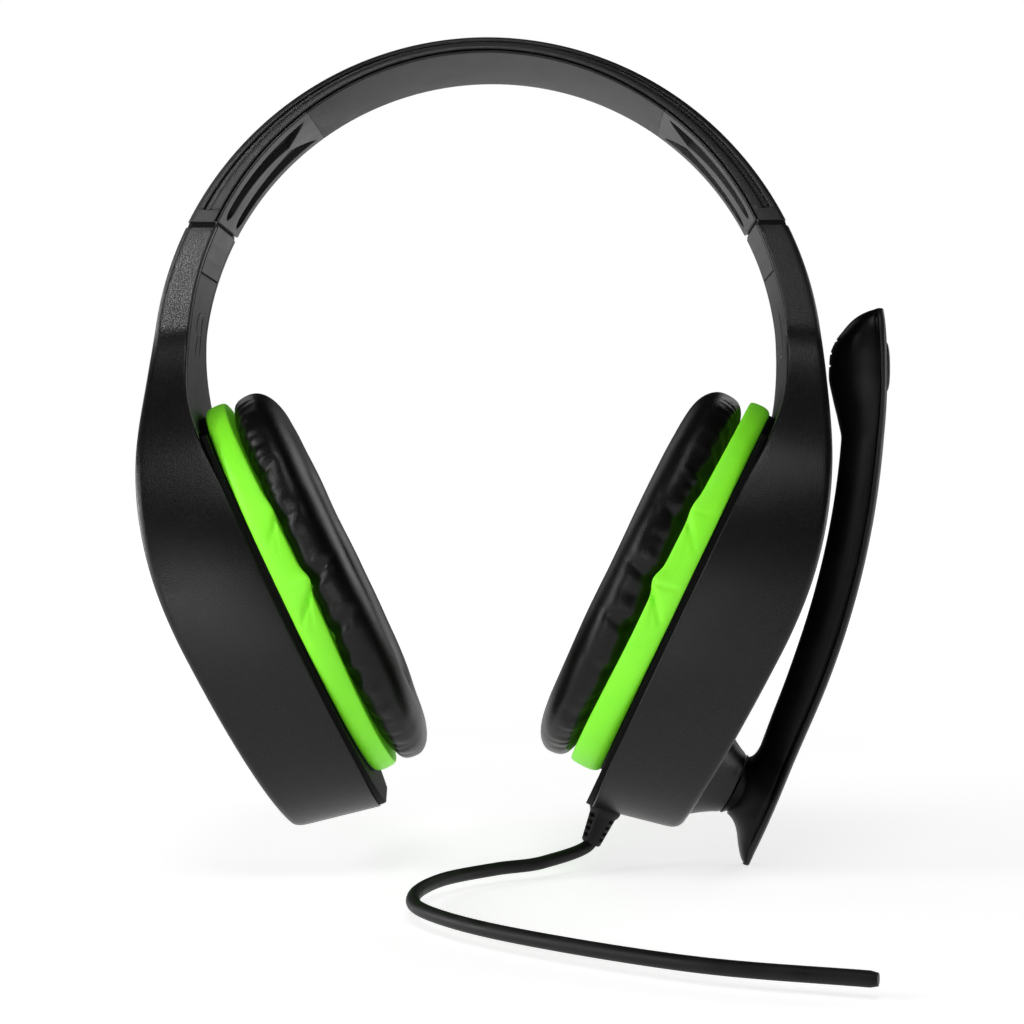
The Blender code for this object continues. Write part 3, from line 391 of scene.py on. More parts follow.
def frame_along(origin, axis):
    """A matrix whose Z is the given axis and whose Y stays as near the world's Y as it can."""
    z = axis.normalized()
    x = Vector((0, 1, 0)).cross(z).normalized()
    y = z.cross(x)
    matrix = Matrix((x, y, z)).transposed().to_4x4()
    matrix.translation = origin
    return matrix


PIVOT_FRAME = frame_along(PIVOT, PIVOT_AXIS)


def boom_matrix(degrees, depth=0.0):
    """Z outwards through the boom, from a depth below its outer face."""
    outwards = boom_point(degrees, -1, 0) - boom_point(degrees, 0, 0)
    return frame_along(boom_point(degrees, depth, 0), outwards)


# ---- mesh helpers ----------------------------------------------------------------------------


def add_rows(builder, rows, ring=True, closed=False, caps=True):
    """Faces between rows of points.

    A ring joins each row's ends, and closed joins the last row to the first.
    """
    grid = [[builder.verts.new(point) for point in row] for row in rows]
    count = len(grid[0])
    pairs = list(zip(grid, grid[1:]))
    if closed:
        pairs.append((grid[-1], grid[0]))
    for first, second in pairs:
        for i in range(count if ring else count - 1):
            j = (i + 1) % count
            builder.faces.new((first[i], first[j], second[j], second[i]))
    if caps and not closed:
        builder.faces.new(grid[0])
        builder.faces.new(grid[-1])
    return grid


def loft(rows, **options):
    builder = bmesh.new()
    add_rows(builder, rows, **options)
    return builder


def turned_rows(builder, profile, matrix, segments):
    """Rows of vertices for (radius, height) points turned about the matrix's Z.

    A radius of 0 is one vertex.
    """
    rows = []
    for radius, height in profile:
        row = []
        for i in range(segments if radius else 1):
            angle = 2 * math.pi * i / segments
            point = Vector((radius * math.cos(angle), radius * math.sin(angle), height))
            row.append(builder.verts.new(matrix @ point))
        rows.append(row)
    return rows


def join_turned(builder, first, second, segments):
    """The faces between two turned rows, either of which may be a single vertex."""
    faces = []
    for i in range(segments):
        j = (i + 1) % segments
        corners = [first[i % len(first)], first[j % len(first)]]
        corners += [second[j % len(second)], second[i % len(second)]]
        corners = list(dict.fromkeys(corners))
        if len(corners) > 2:
            faces.append(builder.faces.new(corners))
    return faces


def turned(profile, matrix, segments):
    builder = bmesh.new()
    rows = turned_rows(builder, profile, matrix, segments)
    pairs = list(zip(rows, rows[1:]))
    if len(rows[0]) > 1:
        pairs.append((rows[-1], rows[0]))
    for first, second in pairs:
        join_turned(builder, first, second, segments)
    return builder


def quarter_arc(depth, width, radius, degrees):
    """Points round an edge at a depth and a half width, from its side face to its end face."""
    points = []
    for angle in map(math.radians, degrees):
        points.append((depth + radius * (1 - math.sin(angle)), width - radius * (1 - math.cos(angle))))
    return points


def mesh_from(name, builder, side=1):
    """A mesh in metres, faces outwards, from a bmesh in the left side's millimetres."""
    if side < 0:
        bmesh.ops.scale(builder, vec=(-1, 1, 1), verts=builder.verts)
    bmesh.ops.recalc_face_normals(builder, faces=builder.faces)
    if builder.calc_volume(signed=True) < 0:
        bmesh.ops.reverse_faces(builder, faces=builder.faces)
    bmesh.ops.scale(builder, vec=(MM, MM, MM), verts=builder.verts)
    mesh = bpy.data.meshes.new(name)
    builder.to_mesh(mesh)
    builder.free()
    return mesh


def make_piece(name, builder, material, body, replaced=(), side=1, sharp=40):
    """Turns a bmesh into a piece on its body, in place of the CAD nodes it stands for."""
    mesh = mesh_from(name, builder, side)
    mesh.materials.append(material)
    mesh.shade_smooth()
    mesh.set_sharp_from_angle(angle=math.radians(sharp))
    piece = bpy.data.objects.new(name, mesh)
    bpy.context.scene.collection.objects.link(piece)
    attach(piece, body)
    if replaced:
        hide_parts(*replaced)
    return piece


def make_arm_piece(side, name, builder, material, node, sharp=40):
    """A piece that rides on one side's arm; the names of piece and node get the side's word."""
    replaced = [f"{word(side)}_{node}"] if node else ()
    return make_piece(f"{word(side)}_{name}", builder, material, arm_body(side), replaced, side, sharp)


def smooth_normals(piece):
    """Lets the large faces decide the shading, so that narrow bevels catch clean highlights."""
    weighted = piece.modifiers.new("weighted_normals", "WEIGHTED_NORMAL")
    weighted.keep_sharp = True
    weighted.weight = 60


def soften_edges(piece, width, angle=35):
    bevel = piece.modifiers.new("soft_edges", "BEVEL")
    bevel.width = width * MM
    bevel.segments = 2
    bevel.limit_method = "ANGLE"
    bevel.angle_limit = math.radians(angle)
    bevel.harden_normals = True


def word(side):
    return "left" if side > 0 else "right"


def arm_body(side):
    return word(side) + "_arm"


# ---- materials -------------------------------------------------------------------------------


class Material:
    """A node material around one Principled shader, with its coordinates in object space."""

    def __init__(self, name, colour, roughness, metallic=0.0, specular=0.5):
        self.material = bpy.data.materials.new(name)
        self.material.use_nodes = True
        self.nodes = self.material.node_tree.nodes
        self.links = self.material.node_tree.links
        self.shader = self.nodes["Principled BSDF"]
        self.shader.inputs["Base Color"].default_value = (*colour, 1)
        self.shader.inputs["Roughness"].default_value = roughness
        self.shader.inputs["Metallic"].default_value = metallic
        self.shader.inputs["Specular IOR Level"].default_value = specular
        self.place = self.nodes.new("ShaderNodeTexCoord").outputs["Object"]
        self.material.diffuse_color = (*colour, 1)

    def stretched(self, scale):
        mapping = self.nodes.new("ShaderNodeMapping")
        mapping.inputs["Scale"].default_value = scale
        self.links.new(self.place, mapping.inputs["Vector"])
        return mapping.outputs["Vector"]

    def noise(self, size_mm, detail=3.0, place=None):
        node = self.nodes.new("ShaderNodeTexNoise")
        node.inputs["Scale"].default_value = 1 / (size_mm * MM)
        node.inputs["Detail"].default_value = detail
        self.links.new(place or self.place, node.inputs["Vector"])
        return node.outputs["Fac"]

    def cells(self, size_mm, feature="F1", place=None):
        node = self.nodes.new("ShaderNodeTexVoronoi")
        node.feature = feature
        node.inputs["Scale"].default_value = 1 / (size_mm * MM)
        self.links.new(place or self.place, node.inputs["Vector"])
        return node.outputs["Distance"]

    def remap(self, value, low, high, to_low, to_high):
        node = self.nodes.new("ShaderNodeMapRange")
        node.inputs["From Min"].default_value = low
        node.inputs["From Max"].default_value = high
        node.inputs["To Min"].default_value = to_low
        node.inputs["To Max"].default_value = to_high
        self.links.new(value, node.inputs["Value"])
        return node.outputs["Result"]

    def maths(self, operation, first, second):
        node = self.nodes.new("ShaderNodeMath")
        node.operation = operation
        for value, socket in zip((first, second), node.inputs):
            if isinstance(value, (int, float)):
                socket.default_value = value
            else:
                self.links.new(value, socket)
        return node.outputs["Value"]

    def colours(self, value, low_colour, high_colour, low=0.35, high=0.65):
        ramp = self.nodes.new("ShaderNodeValToRGB")
        ramp.color_ramp.elements[0].position = low
        ramp.color_ramp.elements[0].color = (*low_colour, 1)
        ramp.color_ramp.elements[1].position = high
        ramp.color_ramp.elements[1].color = (*high_colour, 1)
        self.links.new(value, ramp.inputs["Fac"])
        self.links.new(ramp.outputs["Color"], self.shader.inputs["Base Color"])

    def roughen(self, value, low, high):
        rough = self.remap(value, 0.3, 0.7, low, high)
        self.links.new(rough, self.shader.inputs["Roughness"])

    def bump(self, height, distance_mm, strength=1.0):
        node = self.nodes.new("ShaderNodeBump")
        node.inputs["Strength"].default_value = strength
        node.inputs["Distance"].default_value = distance_mm * MM
        self.links.new(height, node.inputs["Height"])
        self.links.new(node.outputs["Normal"], self.shader.inputs["Normal"])

    def set(self, **values):
        for socket, value in values.items():
            self.shader.inputs[socket.replace("_", " ")].default_value = value


def sparked_plastic():
    """Black moulded plastic with a spark-eroded grain."""
    made = Material("shell_black", (0.005, 0.005, 0.005), 0.3, specular=0.3)
    grain = made.noise(0.26, 1.0)
    cloud = made.noise(9.0, 2.0)
    made.colours(grain, (0.002, 0.002, 0.002), (0.009, 0.009, 0.0092))
    made.roughen(cloud, 0.28, 0.33)
    made.bump(grain, 0.06, 0.9)
    return made.material


def satin_plastic():
    """Smooth satin black plastic with a very fine grain and faint rubbing marks."""
    made = Material("band_black", (0.006, 0.006, 0.0061), 0.4, specular=0.28)
    grain = made.noise(0.3, 2.0)
    cloud = made.noise(14.0, 3.0)
    made.colours(cloud, (0.004, 0.004, 0.0041), (0.008, 0.008, 0.0082))
    made.roughen(cloud, 0.36, 0.44)
    made.bump(grain, 0.03, 0.6)
    return made.material


def boom_plastic():
    made = Material("boom_black", (0.002, 0.002, 0.002), 0.36, specular=0.18)
    grain = made.noise(0.35, 2.0)
    cloud = made.noise(11.0, 3.0)
    made.colours(cloud, (0.0012, 0.0012, 0.0012), (0.003, 0.003, 0.003))
    made.roughen(cloud, 0.33, 0.4)
    made.bump(grain, 0.02, 0.5)
    return made.material


def liner_plastic():
    made = Material("liner_grey", (0.02, 0.02, 0.0202), 0.45, specular=0.24)
    grain = made.noise(0.35, 3.0)
    cloud = made.noise(12.0, 2.0)
    made.colours(cloud, (0.015, 0.015, 0.0152), (0.025, 0.025, 0.0253))
    made.roughen(cloud, 0.4, 0.5)
    made.bump(grain, 0.04, 0.6)
    return made.material


def pad_skin():
    """Soft grey leatherette under the crown."""
    made = Material("pad_grey", (0.014, 0.014, 0.0142), 0.6, specular=0.12)
    cells = made.cells(0.8, "DISTANCE_TO_EDGE")
    fine = made.noise(0.25, 3.0)
    cloud = made.noise(10.0, 3.0)
    made.colours(cloud, (0.01, 0.01, 0.0102), (0.018, 0.018, 0.0182))
    made.roughen(cloud, 0.52, 0.62)
    edges = made.remap(cells, 0.0, 0.18, 0.0, 1.0)
    made.bump(made.maths("ADD", edges, made.maths("MULTIPLY", fine, 0.5)), 0.05, 0.6)
    made.set(Sheen_Weight=0.1, Sheen_Roughness=0.4)
    return made.material


def leatherette(name, dark, light, roughness, relief, specular):
    """Coated fabric: small rounded grains with creases between them."""
    middle = tuple((a + b) / 2 for a, b in zip(dark, light))
    made = Material(name, middle, roughness, specular=specular)
    cells = made.cells(0.7, "DISTANCE_TO_EDGE")
    fine = made.noise(0.3, 3.0)
    cloud = made.noise(13.0, 3.0)
    made.colours(cloud, dark, light, 0.3, 0.7)
    made.roughen(cloud, roughness - 0.04, roughness + 0.04)
    edges = made.remap(cells, 0.0, 0.2, 0.0, 1.0)
    made.bump(made.maths("ADD", edges, made.maths("MULTIPLY", fine, 0.6)), relief, 0.5)
    return made.material


def black_leatherette():
    dark, light = (0.0015, 0.0015, 0.0015), (0.003, 0.003, 0.003)
    return leatherette("cushion_black", dark, light, 0.36, 0.03, 0.26)


def green_leatherette():
    """Bright green coated fabric, with a faint painted glow that makes it brighter than the lamps alone light
    it.
    """
    material = leatherette("cushion_green", (0.24, 0.93, 0.02), (0.28, 0.98, 0.03), 0.5, 0.03, 0.4)
    shader = material.node_tree.nodes["Principled BSDF"]
    # Painted glow: emission that lifts the green above what the lamps give it.
    shader.inputs["Emission Color"].default_value = (0.16, 0.8, 0.02, 1)
    shader.inputs["Emission Strength"].default_value = 0.1
    return material


def rubber_skin():
    made = Material("rubber_black", (0.008, 0.008, 0.0082), 0.5, specular=0.2)
    fine = made.noise(0.25, 3.0)
    cloud = made.noise(6.0, 3.0)
    made.colours(cloud, (0.005, 0.005, 0.0051), (0.01, 0.01, 0.0102))
    made.roughen(cloud, 0.46, 0.58)
    made.bump(fine, 0.03, 0.6)
    return made.material


def brushed_steel():
    made = Material("brushed_steel", (0.5, 0.5, 0.51), 0.3, metallic=1.0)
    lines = made.noise(0.4, 4.0, made.stretched((1.0, 1.0, 0.06)))
    made.colours(lines, (0.42, 0.42, 0.43), (0.58, 0.58, 0.59))
    made.roughen(lines, 0.24, 0.4)
    made.bump(lines, 0.02, 0.5)
    return made.material


def plain_black():
    """Inner mouldings, the insides of the holes cut into the boom, and the plate of painted shade in each
    junction gap.
    """
    made = Material("inner_black", (0.0015, 0.0015, 0.0015), 0.6, specular=0.08)
    grain = made.noise(0.5, 2.0)
    made.colours(grain, (0.001, 0.001, 0.001), (0.003, 0.003, 0.003))
    made.bump(grain, 0.05, 0.5)
    return made.material


def scrim_weave():
    """Open woven cloth: two sets of threads, the gaps between them darker."""
    made = Material("scrim_cloth", (0.015, 0.015, 0.016), 0.8)
    axes = made.nodes.new("ShaderNodeSeparateXYZ")
    made.links.new(made.stretched((1 / (0.8 * MM),) * 3), axes.inputs["Vector"])
    waves = []
    for axis in ("Y", "Z"):
        turns = made.maths("MULTIPLY", axes.outputs[axis], math.pi)
        waves.append(made.maths("ABSOLUTE", made.maths("SINE", turns, 0), 0))
    threads = made.maths("MULTIPLY", *waves)
    made.colours(threads, (0.003, 0.003, 0.003), (0.03, 0.03, 0.031), 0.1, 0.7)
    made.bump(threads, 0.2, 1.0)
    made.set(Sheen_Weight=0.3, Sheen_Roughness=0.5)
    return made.material


def circuit_board():
    made = Material("board_green", (0.02, 0.12, 0.05), 0.4)
    tracks = made.cells(2.2, "DISTANCE_TO_EDGE")
    made.colours(tracks, (0.05, 0.2, 0.08), (0.015, 0.09, 0.04), 0.04, 0.1)
    made.bump(tracks, 0.05, 0.5)
    return made.material


def diaphragm_film():
    made = Material("diaphragm_film", (0.04, 0.04, 0.042), 0.25)
    cloud = made.noise(3.0, 2.0)
    made.colours(cloud, (0.03, 0.03, 0.032), (0.05, 0.05, 0.052))
    made.bump(cloud, 0.1, 0.4)
    return made.material


SHELL = sparked_plastic()
SATIN = satin_plastic()
BOOM = boom_plastic()
LINER = liner_plastic()
PAD = pad_skin()
BLACK_LEATHER = black_leatherette()
GREEN_LEATHER = green_leatherette()
RUBBER = rubber_skin()
STEEL = brushed_steel()
INNER = plain_black()
SCRIM = scrim_weave()
BOARD = circuit_board()
FILM = diaphragm_film()


# ---- headband --------------------------------------------------------------------------------


def groove_opening(share):
    """Half height and depth of the edge groove, which has round ends."""
    thickness = flange_depth(share)
    full = thickness * (GROOVE_TO - GROOVE_FROM) / 2
    inside = (GROOVE_END - abs(share)) * BAND_ARC
    if inside <= 0:
        return 0.02, 0.0
    t = clamp(inside / full)
    return max(0.02, full * math.sqrt(1 - (1 - t) ** 2)), GROOVE_DEPTH * clamp(inside / 0.12)


def band_profile(share, shrink=0.0):
    """Half of the outer moulding's section as (depth, y), from the channel round to the top."""
    width = band_half_width(band_section(share)[0].z) - shrink
    bottom = flange_depth(share) - shrink
    half, deep = groove_opening(share)
    middle = flange_depth(share) * (GROOVE_FROM + GROOVE_TO) / 2
    lip = min(GROOVE_LIP, half * 0.6)
    thin = lip * 0.4
    inner = width - FLANGE_WIDTH + 2 * shrink
    profile = [
        (BAND_WALL + shrink, inner),
        (bottom - 0.25, inner),
        (bottom, inner + 0.25),
        (bottom, width - 0.4),
        (bottom - 0.12, width - 0.12),
        (bottom - 0.4, width),
        (middle + half + lip * 1.6, width),
        (middle + half + lip * 0.5, width - lip * 0.3),
        (middle + half, width - min(deep, lip)),
        (middle + half - 0.05 * half, width - deep),
        (middle - half + 0.05 * half, width - deep),
        (middle - half, width - min(deep, thin)),
        (middle - half - thin, width),
        (shrink + BAND_EDGE_RADIUS, width),
    ]
    profile += quarter_arc(shrink, width, BAND_EDGE_RADIUS, (15, 30, 45, 60, 75, 90))
    return profile + [(shrink, width * 0.5), (shrink, 0.0)]


def band_stations():
    """Shares along the band, close together where the grooves end and at the two ends."""
    half = [i / 60 * 0.93 for i in range(61)]
    for degrees in (90, 75, 60, 45, 30, 20, 10, 5):
        half.append(GROOVE_END - (1 - math.cos(math.radians(degrees))) * 0.8 / BAND_ARC)
    half += [GROOVE_END + beyond / BAND_ARC for beyond in (-0.05, 0.0, 0.1, 1.0)]
    return sorted(share for share in half if share < BAND_END - 0.6 / BAND_ARC)


def both_ways(half):
    """(share, shrink) stations from one end of the band to the other."""
    return [(-share, shrink) for share, shrink in reversed(half) if share > 0] + half


def band_ring(share, profile):
    mirrored = [(depth, -y) for depth, y in reversed(profile) if y > 0]
    return [band_point(share, depth, y) for depth, y in profile + mirrored]


def make_headband_shell():
    half = [(share, 0.0) for share in band_stations()]
    half += [(BAND_END - 0.3 / BAND_ARC, 0.0), (BAND_END - 0.09 / BAND_ARC, 0.09), (BAND_END, 0.3)]
    rings = [band_ring(share, band_profile(share, shrink)) for share, shrink in both_ways(half)]
    replaced = ["headband_shell"]
    piece = make_piece("headband_outer", loft(rings), SATIN, "headband", replaced, sharp=50)
    smooth_normals(piece)


def liner_half(share, stem_top, shrink, crown):
    """Half of a T section: a stem between the flanges and a rounded lip over them."""
    width = band_half_width(band_section(share)[0].z) - 0.2 - shrink
    thickness = band_section(share)[2] - shrink
    stem = width - FLANGE_WIDTH
    lip = band_section(share)[2] - LINER_LIP + shrink
    half = [(stem_top + shrink, 0.0), (stem_top + shrink, stem)]
    half += [(lip, stem), (lip, width - 0.1), (lip + 0.1, width)]
    for degrees in (0, 30, 60, 90):
        angle = math.radians(degrees)
        round_depth = thickness - LINER_EDGE_RADIUS * (1 - math.sin(angle))
        half.append((round_depth, width - LINER_EDGE_RADIUS * (1 - math.cos(angle))))
    for part in (0.8, 0.6, 0.4, 0.2, 0.0):
        half.append((thickness + crown * (1 - part**2), (width - LINER_EDGE_RADIUS) * part))
    return half


def make_headband_pad():
    half = [(share, 0.0) for share in steps(0, PAD_END - 0.5 / BAND_ARC, 40)]
    half += [(PAD_END - 0.1 / BAND_ARC, 0.02), (PAD_END, 0.1)]
    rings = []
    for share, shrink in both_ways(half):
        fade = smooth((PAD_END - abs(share)) * BAND_ARC / 6)
        rings.append(band_ring(share, liner_half(share, PAD_STEM_TOP, shrink, 0.15 + 0.35 * fade)))
    piece = make_piece("crown_pad", loft(rings), PAD, "headband", ["headband_pad"], sharp=60)
    smooth_normals(piece)


def slot_edges(along):
    """Y of a slot's inner and outer edge at a place along it; its far end is round."""
    narrow = 0.0
    if along > SLOT_ROUND_FROM:
        t = (along - SLOT_ROUND_FROM) / (1 - SLOT_ROUND_FROM)
        narrow = 3.2 * (1 - math.sqrt(max(0.0, 1 - t * t)))
    inner = SLOT_INNER_Y - 2.0 * (1 - along) ** 3 + 0.3 * along + narrow
    outer = SLOT_OUTER_Y + 1.2 - 2.2 * along - narrow
    return inner, outer


def vent_rows():
    """(share of the band, place along the slots, whether that is between their ends) down the panel."""
    slots = [0.0, 0.02, 0.05, 0.1, 0.16, 0.23] + steps(0.3, SLOT_ROUND_FROM, 13)
    round_end = 1 - SLOT_ROUND_FROM
    slots += [SLOT_ROUND_FROM + round_end * math.sin(math.radians(a)) for a in (15, 30, 45, 60, 72, 82, 88)]
    rows = [(share, 0.0, False) for share in steps(PANEL_START, SLOT_START - 0.3 / BAND_ARC, 4)]
    rows += [(SLOT_START + (SLOT_END - SLOT_START) * t, t, True) for t in slots]
    after = steps(SLOT_END + 0.3 / BAND_ARC, BAND_END - 0.3 / BAND_ARC, 3)
    return rows + [(share, 1.0, False) for share in after]


def slot_slant(share, along, across, between):
    """How much further along the band a point lies, as the slots' near ends are cut at a slant."""
    if between:
        fade = 1 - along
    elif share < SLOT_START:
        fade = clamp((share - PANEL_START) / (SLOT_START - PANEL_START))
    else:
        return 0.0
    return SLOT_SLANT * (1 - across) ** 1.3 * fade**2


def vent_row(share, along, between):
    """Points across the panel: its face, then the rounded lip and the stem behind it, on both sides."""
    inner, outer = slot_edges(along)
    width = band_half_width(band_section(share)[0].z) - 0.2
    columns = [0.0, inner * 0.5]
    columns += [inner + (outer - inner) * k / SLOT_COLUMNS for k in range(SLOT_COLUMNS + 1)]
    columns += [(outer + width) / 2, width - LINER_EDGE_RADIUS]
    half = []
    for y in columns:
        across = clamp((y - inner) / max(0.1, outer - inner))
        at = share + slot_slant(share, along, across, between)
        half.append((at, band_section(at)[2] + 0.25 * (1 - (y / width) ** 2), y))
    thickness = band_section(share)[2]
    for degrees in (30, 60, 90):
        angle = math.radians(degrees)
        depth = thickness - LINER_EDGE_RADIUS + LINER_EDGE_RADIUS * math.cos(angle)
        half.append((share, depth, width - LINER_EDGE_RADIUS + LINER_EDGE_RADIUS * math.sin(angle)))
    stem = width - FLANGE_WIDTH
    half += [(share, thickness - LINER_LIP, width), (share, thickness - LINER_LIP, stem)]
    half.append((share, thickness - PANEL_STEM, stem))
    mirrored = [(at, depth, -y) for at, depth, y in reversed(half)]
    return [band_point(at, depth, y) for at, depth, y in mirrored + half[1:]]


def slot_faces(builder, grid, rows):
    """The faces of the panel that lie inside the two slots."""
    middle = len(grid[0]) // 2
    wanted = set()
    for i in range(len(rows) - 1):
        if not (rows[i][2] and rows[i + 1][2]):
            continue
        first, second = grid[i], grid[i + 1]
        for k in range(2, 2 + SLOT_COLUMNS):
            for column in (middle + k, middle - k - 1):
                corners = (first[column], first[column + 1], second[column + 1], second[column])
                wanted.add(frozenset(corners))
    return [face for face in builder.faces if frozenset(face.verts) in wanted]


def make_vent_panel(side):
    """A panel whose two slots are pushed in from its face, with their edges bevelled."""
    rows = vent_rows()
    builder = bmesh.new()
    grid = add_rows(builder, [vent_row(*row) for row in rows])
    faces = slot_faces(builder, grid, rows)
    push_in(builder, faces, lambda point: band_inwards(point) * -SLOT_DEPTH, SLOT_BEVEL)
    name, replaced = word(side) + "_vent_liner", [word(side) + "_vent_panel"]
    smooth_normals(make_piece(name, builder, LINER, "headband", replaced, side, sharp=45))


def band_inwards(point):
    """Unit vector towards the head at a point of the liner."""
    towards = Vector((-point.x, 0, BAND_INNER_CENTRE - point.z))
    return towards.normalized()


def push_in(builder, faces, move, bevel):
    """Pushes faces in by a function of their points, and bevels the rim they leave."""
    rim = [edge for edge in builder.edges if sum(f in set(faces) for f in edge.link_faces) == 1]
    made = bmesh.ops.extrude_face_region(builder, geom=faces, use_keep_orig=False)
    for item in made["geom"]:
        if isinstance(item, bmesh.types.BMVert):
            item.co += move(item.co)
    bmesh.ops.delete(builder, geom=[f for f in faces if f.is_valid], context="FACES_ONLY")
    rim = [edge for edge in rim if edge.is_valid]
    bmesh.ops.bevel(builder, geom=rim, offset=bevel, segments=2, affect="EDGES", profile=0.5)


# ---- arms and cups ---------------------------------------------------------------------------


def shell_profile(along, shrink, hollow):
    """Half of the shell's section as (distance from the inner curve, y).

    It runs from the cavity round the rim and along the side to the outer middle.
    """
    inner, outer, width = arm_section(along)
    width -= shrink
    depth = (outer - inner).length - shrink
    dome = ARM_DOME + (CUP_DOME - ARM_DOME) * clamp((NECK_Z - inner.z) / 40)
    wall = width - WALL + shrink
    cavity = max(0.6, depth - WALL) if hollow else 0.05
    side_end = depth - EDGE_RADIUS - 0.75
    on_cup = smooth((COVER_END_Z - inner.z) / 14) * smooth((inner.z - INNER_BOTTOM_Z) / 14)
    rim = -RIM_RISE * on_cup
    rim_width = width - RIM_TURN * on_cup
    half = [
        (cavity, wall),
        (rim + 0.3 if hollow else 0.04, wall),
        (rim, min(wall + 0.3, rim_width - 0.6)),
        (rim, rim_width - 0.5),
        (rim + 0.07, rim_width - 0.25),
        (rim + 0.25, rim_width - 0.07),
        (rim + 0.5, rim_width),
    ]
    for share in (0.05, 0.1, 0.17, 0.25, 0.35, 0.5, 0.75):
        at = 0.5 + (side_end - 0.7) * share
        turn = max(0.0, 1 - at / RIM_TURN_REACH) ** 2
        half.append((at, width - (width - rim_width) * turn))
    half.append((side_end + 0.12, width))
    for degrees in (0, 15, 30, 45, 60, 75, 90):
        angle = math.radians(degrees)
        round_depth = depth - EDGE_RADIUS * (1 - math.sin(angle))
        half.append((round_depth, width - EDGE_RADIUS * (1 - math.cos(angle))))
    for share in (0.85, 0.7, 0.55, 0.4, 0.25, 0.12, 0.0):
        half.append((depth + dome * (1 - share**2), (width - EDGE_RADIUS) * share))
    return half


def shell_ring(along, shrink=0.0, hollow=True):
    half = shell_profile(along, shrink, hollow)
    mirrored = [(from_inner, -y) for from_inner, y in reversed(half[:-1])]
    return [arm_point(along, from_inner, y) for from_inner, y in half + mirrored]


def make_shell(side):
    length = JUNCTION_Z - OUTER_BOTTOM_Z
    rings = [shell_ring(ARM_START, 0.35), shell_ring(ARM_START + 0.1 / length, 0.1)]
    rings += [shell_ring(along) for along in shell_stations(ARM_START + 0.35 / length, 1 - 2.2 / length, 120)]
    rings.append(shell_ring(1 - 2.1 / length, 0.0, False))
    for degrees in (0, 15, 30, 45, 60, 75, 90):
        angle = math.radians(degrees)
        along = 1 - BOTTOM_RADIUS * (1 - math.sin(angle)) / length
        rings.append(shell_ring(along, BOTTOM_RADIUS * (1 - math.cos(angle)), False))
    smooth_normals(make_arm_piece(side, "housing", loft(rings), SHELL, "shell", 50))


def plate_ring(lift, along, shrink):
    """A ring of the junction's plate of painted shade: a rectangle with two cut corners, lifted by so many
    millimetres.
    """
    inner, outer, width = arm_section(along)
    low, high = shrink, (outer - inner).length - shrink
    half = width - shrink
    corners = [(low, -half), (low, half), (high - 1, half)]
    corners += [(high, half - 1), (high, 1 - half), (high - 1, -half)]
    ring = [arm_point(along, from_inner, y) for from_inner, y in corners]
    for point in ring:
        point.z += lift
    return ring


def make_junction_shade_plate(side):
    """A dark plate in the gap between the headband and the arm: painted shade, standing for the shadow inside
    the gap.
    """
    rings = [plate_ring(0.4725, 0.0, 0.6), plate_ring(0.405, 0.0, 0.45), plate_ring(0.0, 0.006, 0.45)]
    # Painted shade: a black plate where the gap between band and arm holds only shadow.
    make_arm_piece(side, "junction_shade_plate", loft(rings), INNER, None)


def cover_ring(along, shrink):
    width = arm_section(along)[2] - WALL - GAP - shrink
    skirt, skirt_width = COVER_THICKNESS + 0.3, width + GAP + 0.3
    half = [(skirt, 0.0), (skirt, skirt_width), (COVER_THICKNESS, skirt_width)]
    half += [(COVER_THICKNESS, width), (0.3 + shrink, width)]
    half += quarter_arc(shrink, width, 0.3, (30, 60, 90))
    half += [(shrink, width * 0.66), (shrink, width * 0.33), (shrink, 0.0)]
    mirrored = [(from_inner, -y) for from_inner, y in reversed(half[1:-1])]
    return [arm_point(along, from_inner, y) for from_inner, y in half + mirrored]


def make_arm_cover(side):
    start, end = arm_share(GUIDE_END_Z) + 0.0022, arm_share(COVER_END_Z)
    rings = [cover_ring(start, 0.2), cover_ring(start + 0.0005, 0.06), cover_ring(start + 0.0015, 0)]
    rings += [cover_ring(along, 0) for along in steps(start + 0.004, end, 44)]
    smooth_normals(make_arm_piece(side, "inner_cover", loft(rings), LINER, "arm_cover", 50))


def stroke(path):
    """A raised stroke on the inner cover along (z, y) points: a rounded ridge with tapered ends."""
    rows = []
    last = len(path) - 1
    for i, (z, y) in enumerate(path):
        z0, y0 = path[max(0, i - 1)]
        z1, y1 = path[min(last, i + 1)]
        length = math.hypot(z1 - z0, y1 - y0)
        end = 0.35 if i in (0, last) else 1.0
        reach = STROKE_WIDTH / 2 * end / length
        row = []
        for offset, lift in ((-1, 0.3), (-0.8, -0.6), (0, -1.0), (0.8, -0.6), (1, 0.3)):
            at = z - (y1 - y0) * offset * reach
            row.append(arm_point(arm_share(at), lift * STROKE_HEIGHT * end, y + (z1 - z0) * offset * reach))
        rows.append(row)
    return rows


def make_side_letter(side):
    """The raised side letter on the inner cover: R on the wearer's right, L on the left."""
    top, bottom, half = LETTER_TOP_Z, LETTER_BOTTOM_Z, LETTER_HALF_WIDTH
    waist = (top + bottom) / 2 + 0.4
    if side < 0:
        bowl = [(top, half)]
        for degrees in steps(90, -90, 13):
            angle = math.radians(degrees)
            height = (top + waist) / 2 + (top - waist) / 2 * math.sin(angle)
            bowl.append((height, half - 3.6 - 2.8 * math.cos(angle)))
        bowl.append((waist, half))
        leg = [(waist + (bottom - waist) * t, half - 3.2 - 3.2 * t) for t in steps(0, 1, 7)]
        paths = [[(z, half) for z in steps(bottom, top, 9)], bowl, leg]
    else:
        foot = [(bottom, -half + 6.0 * t) for t in steps(0, 1, 7)]
        paths = [[(z, -half) for z in steps(bottom, top, 9)], foot]
    builder = bmesh.new()
    for path in paths:
        add_rows(builder, stroke(path))
    make_arm_piece(side, "side_mark", builder, LINER, None)


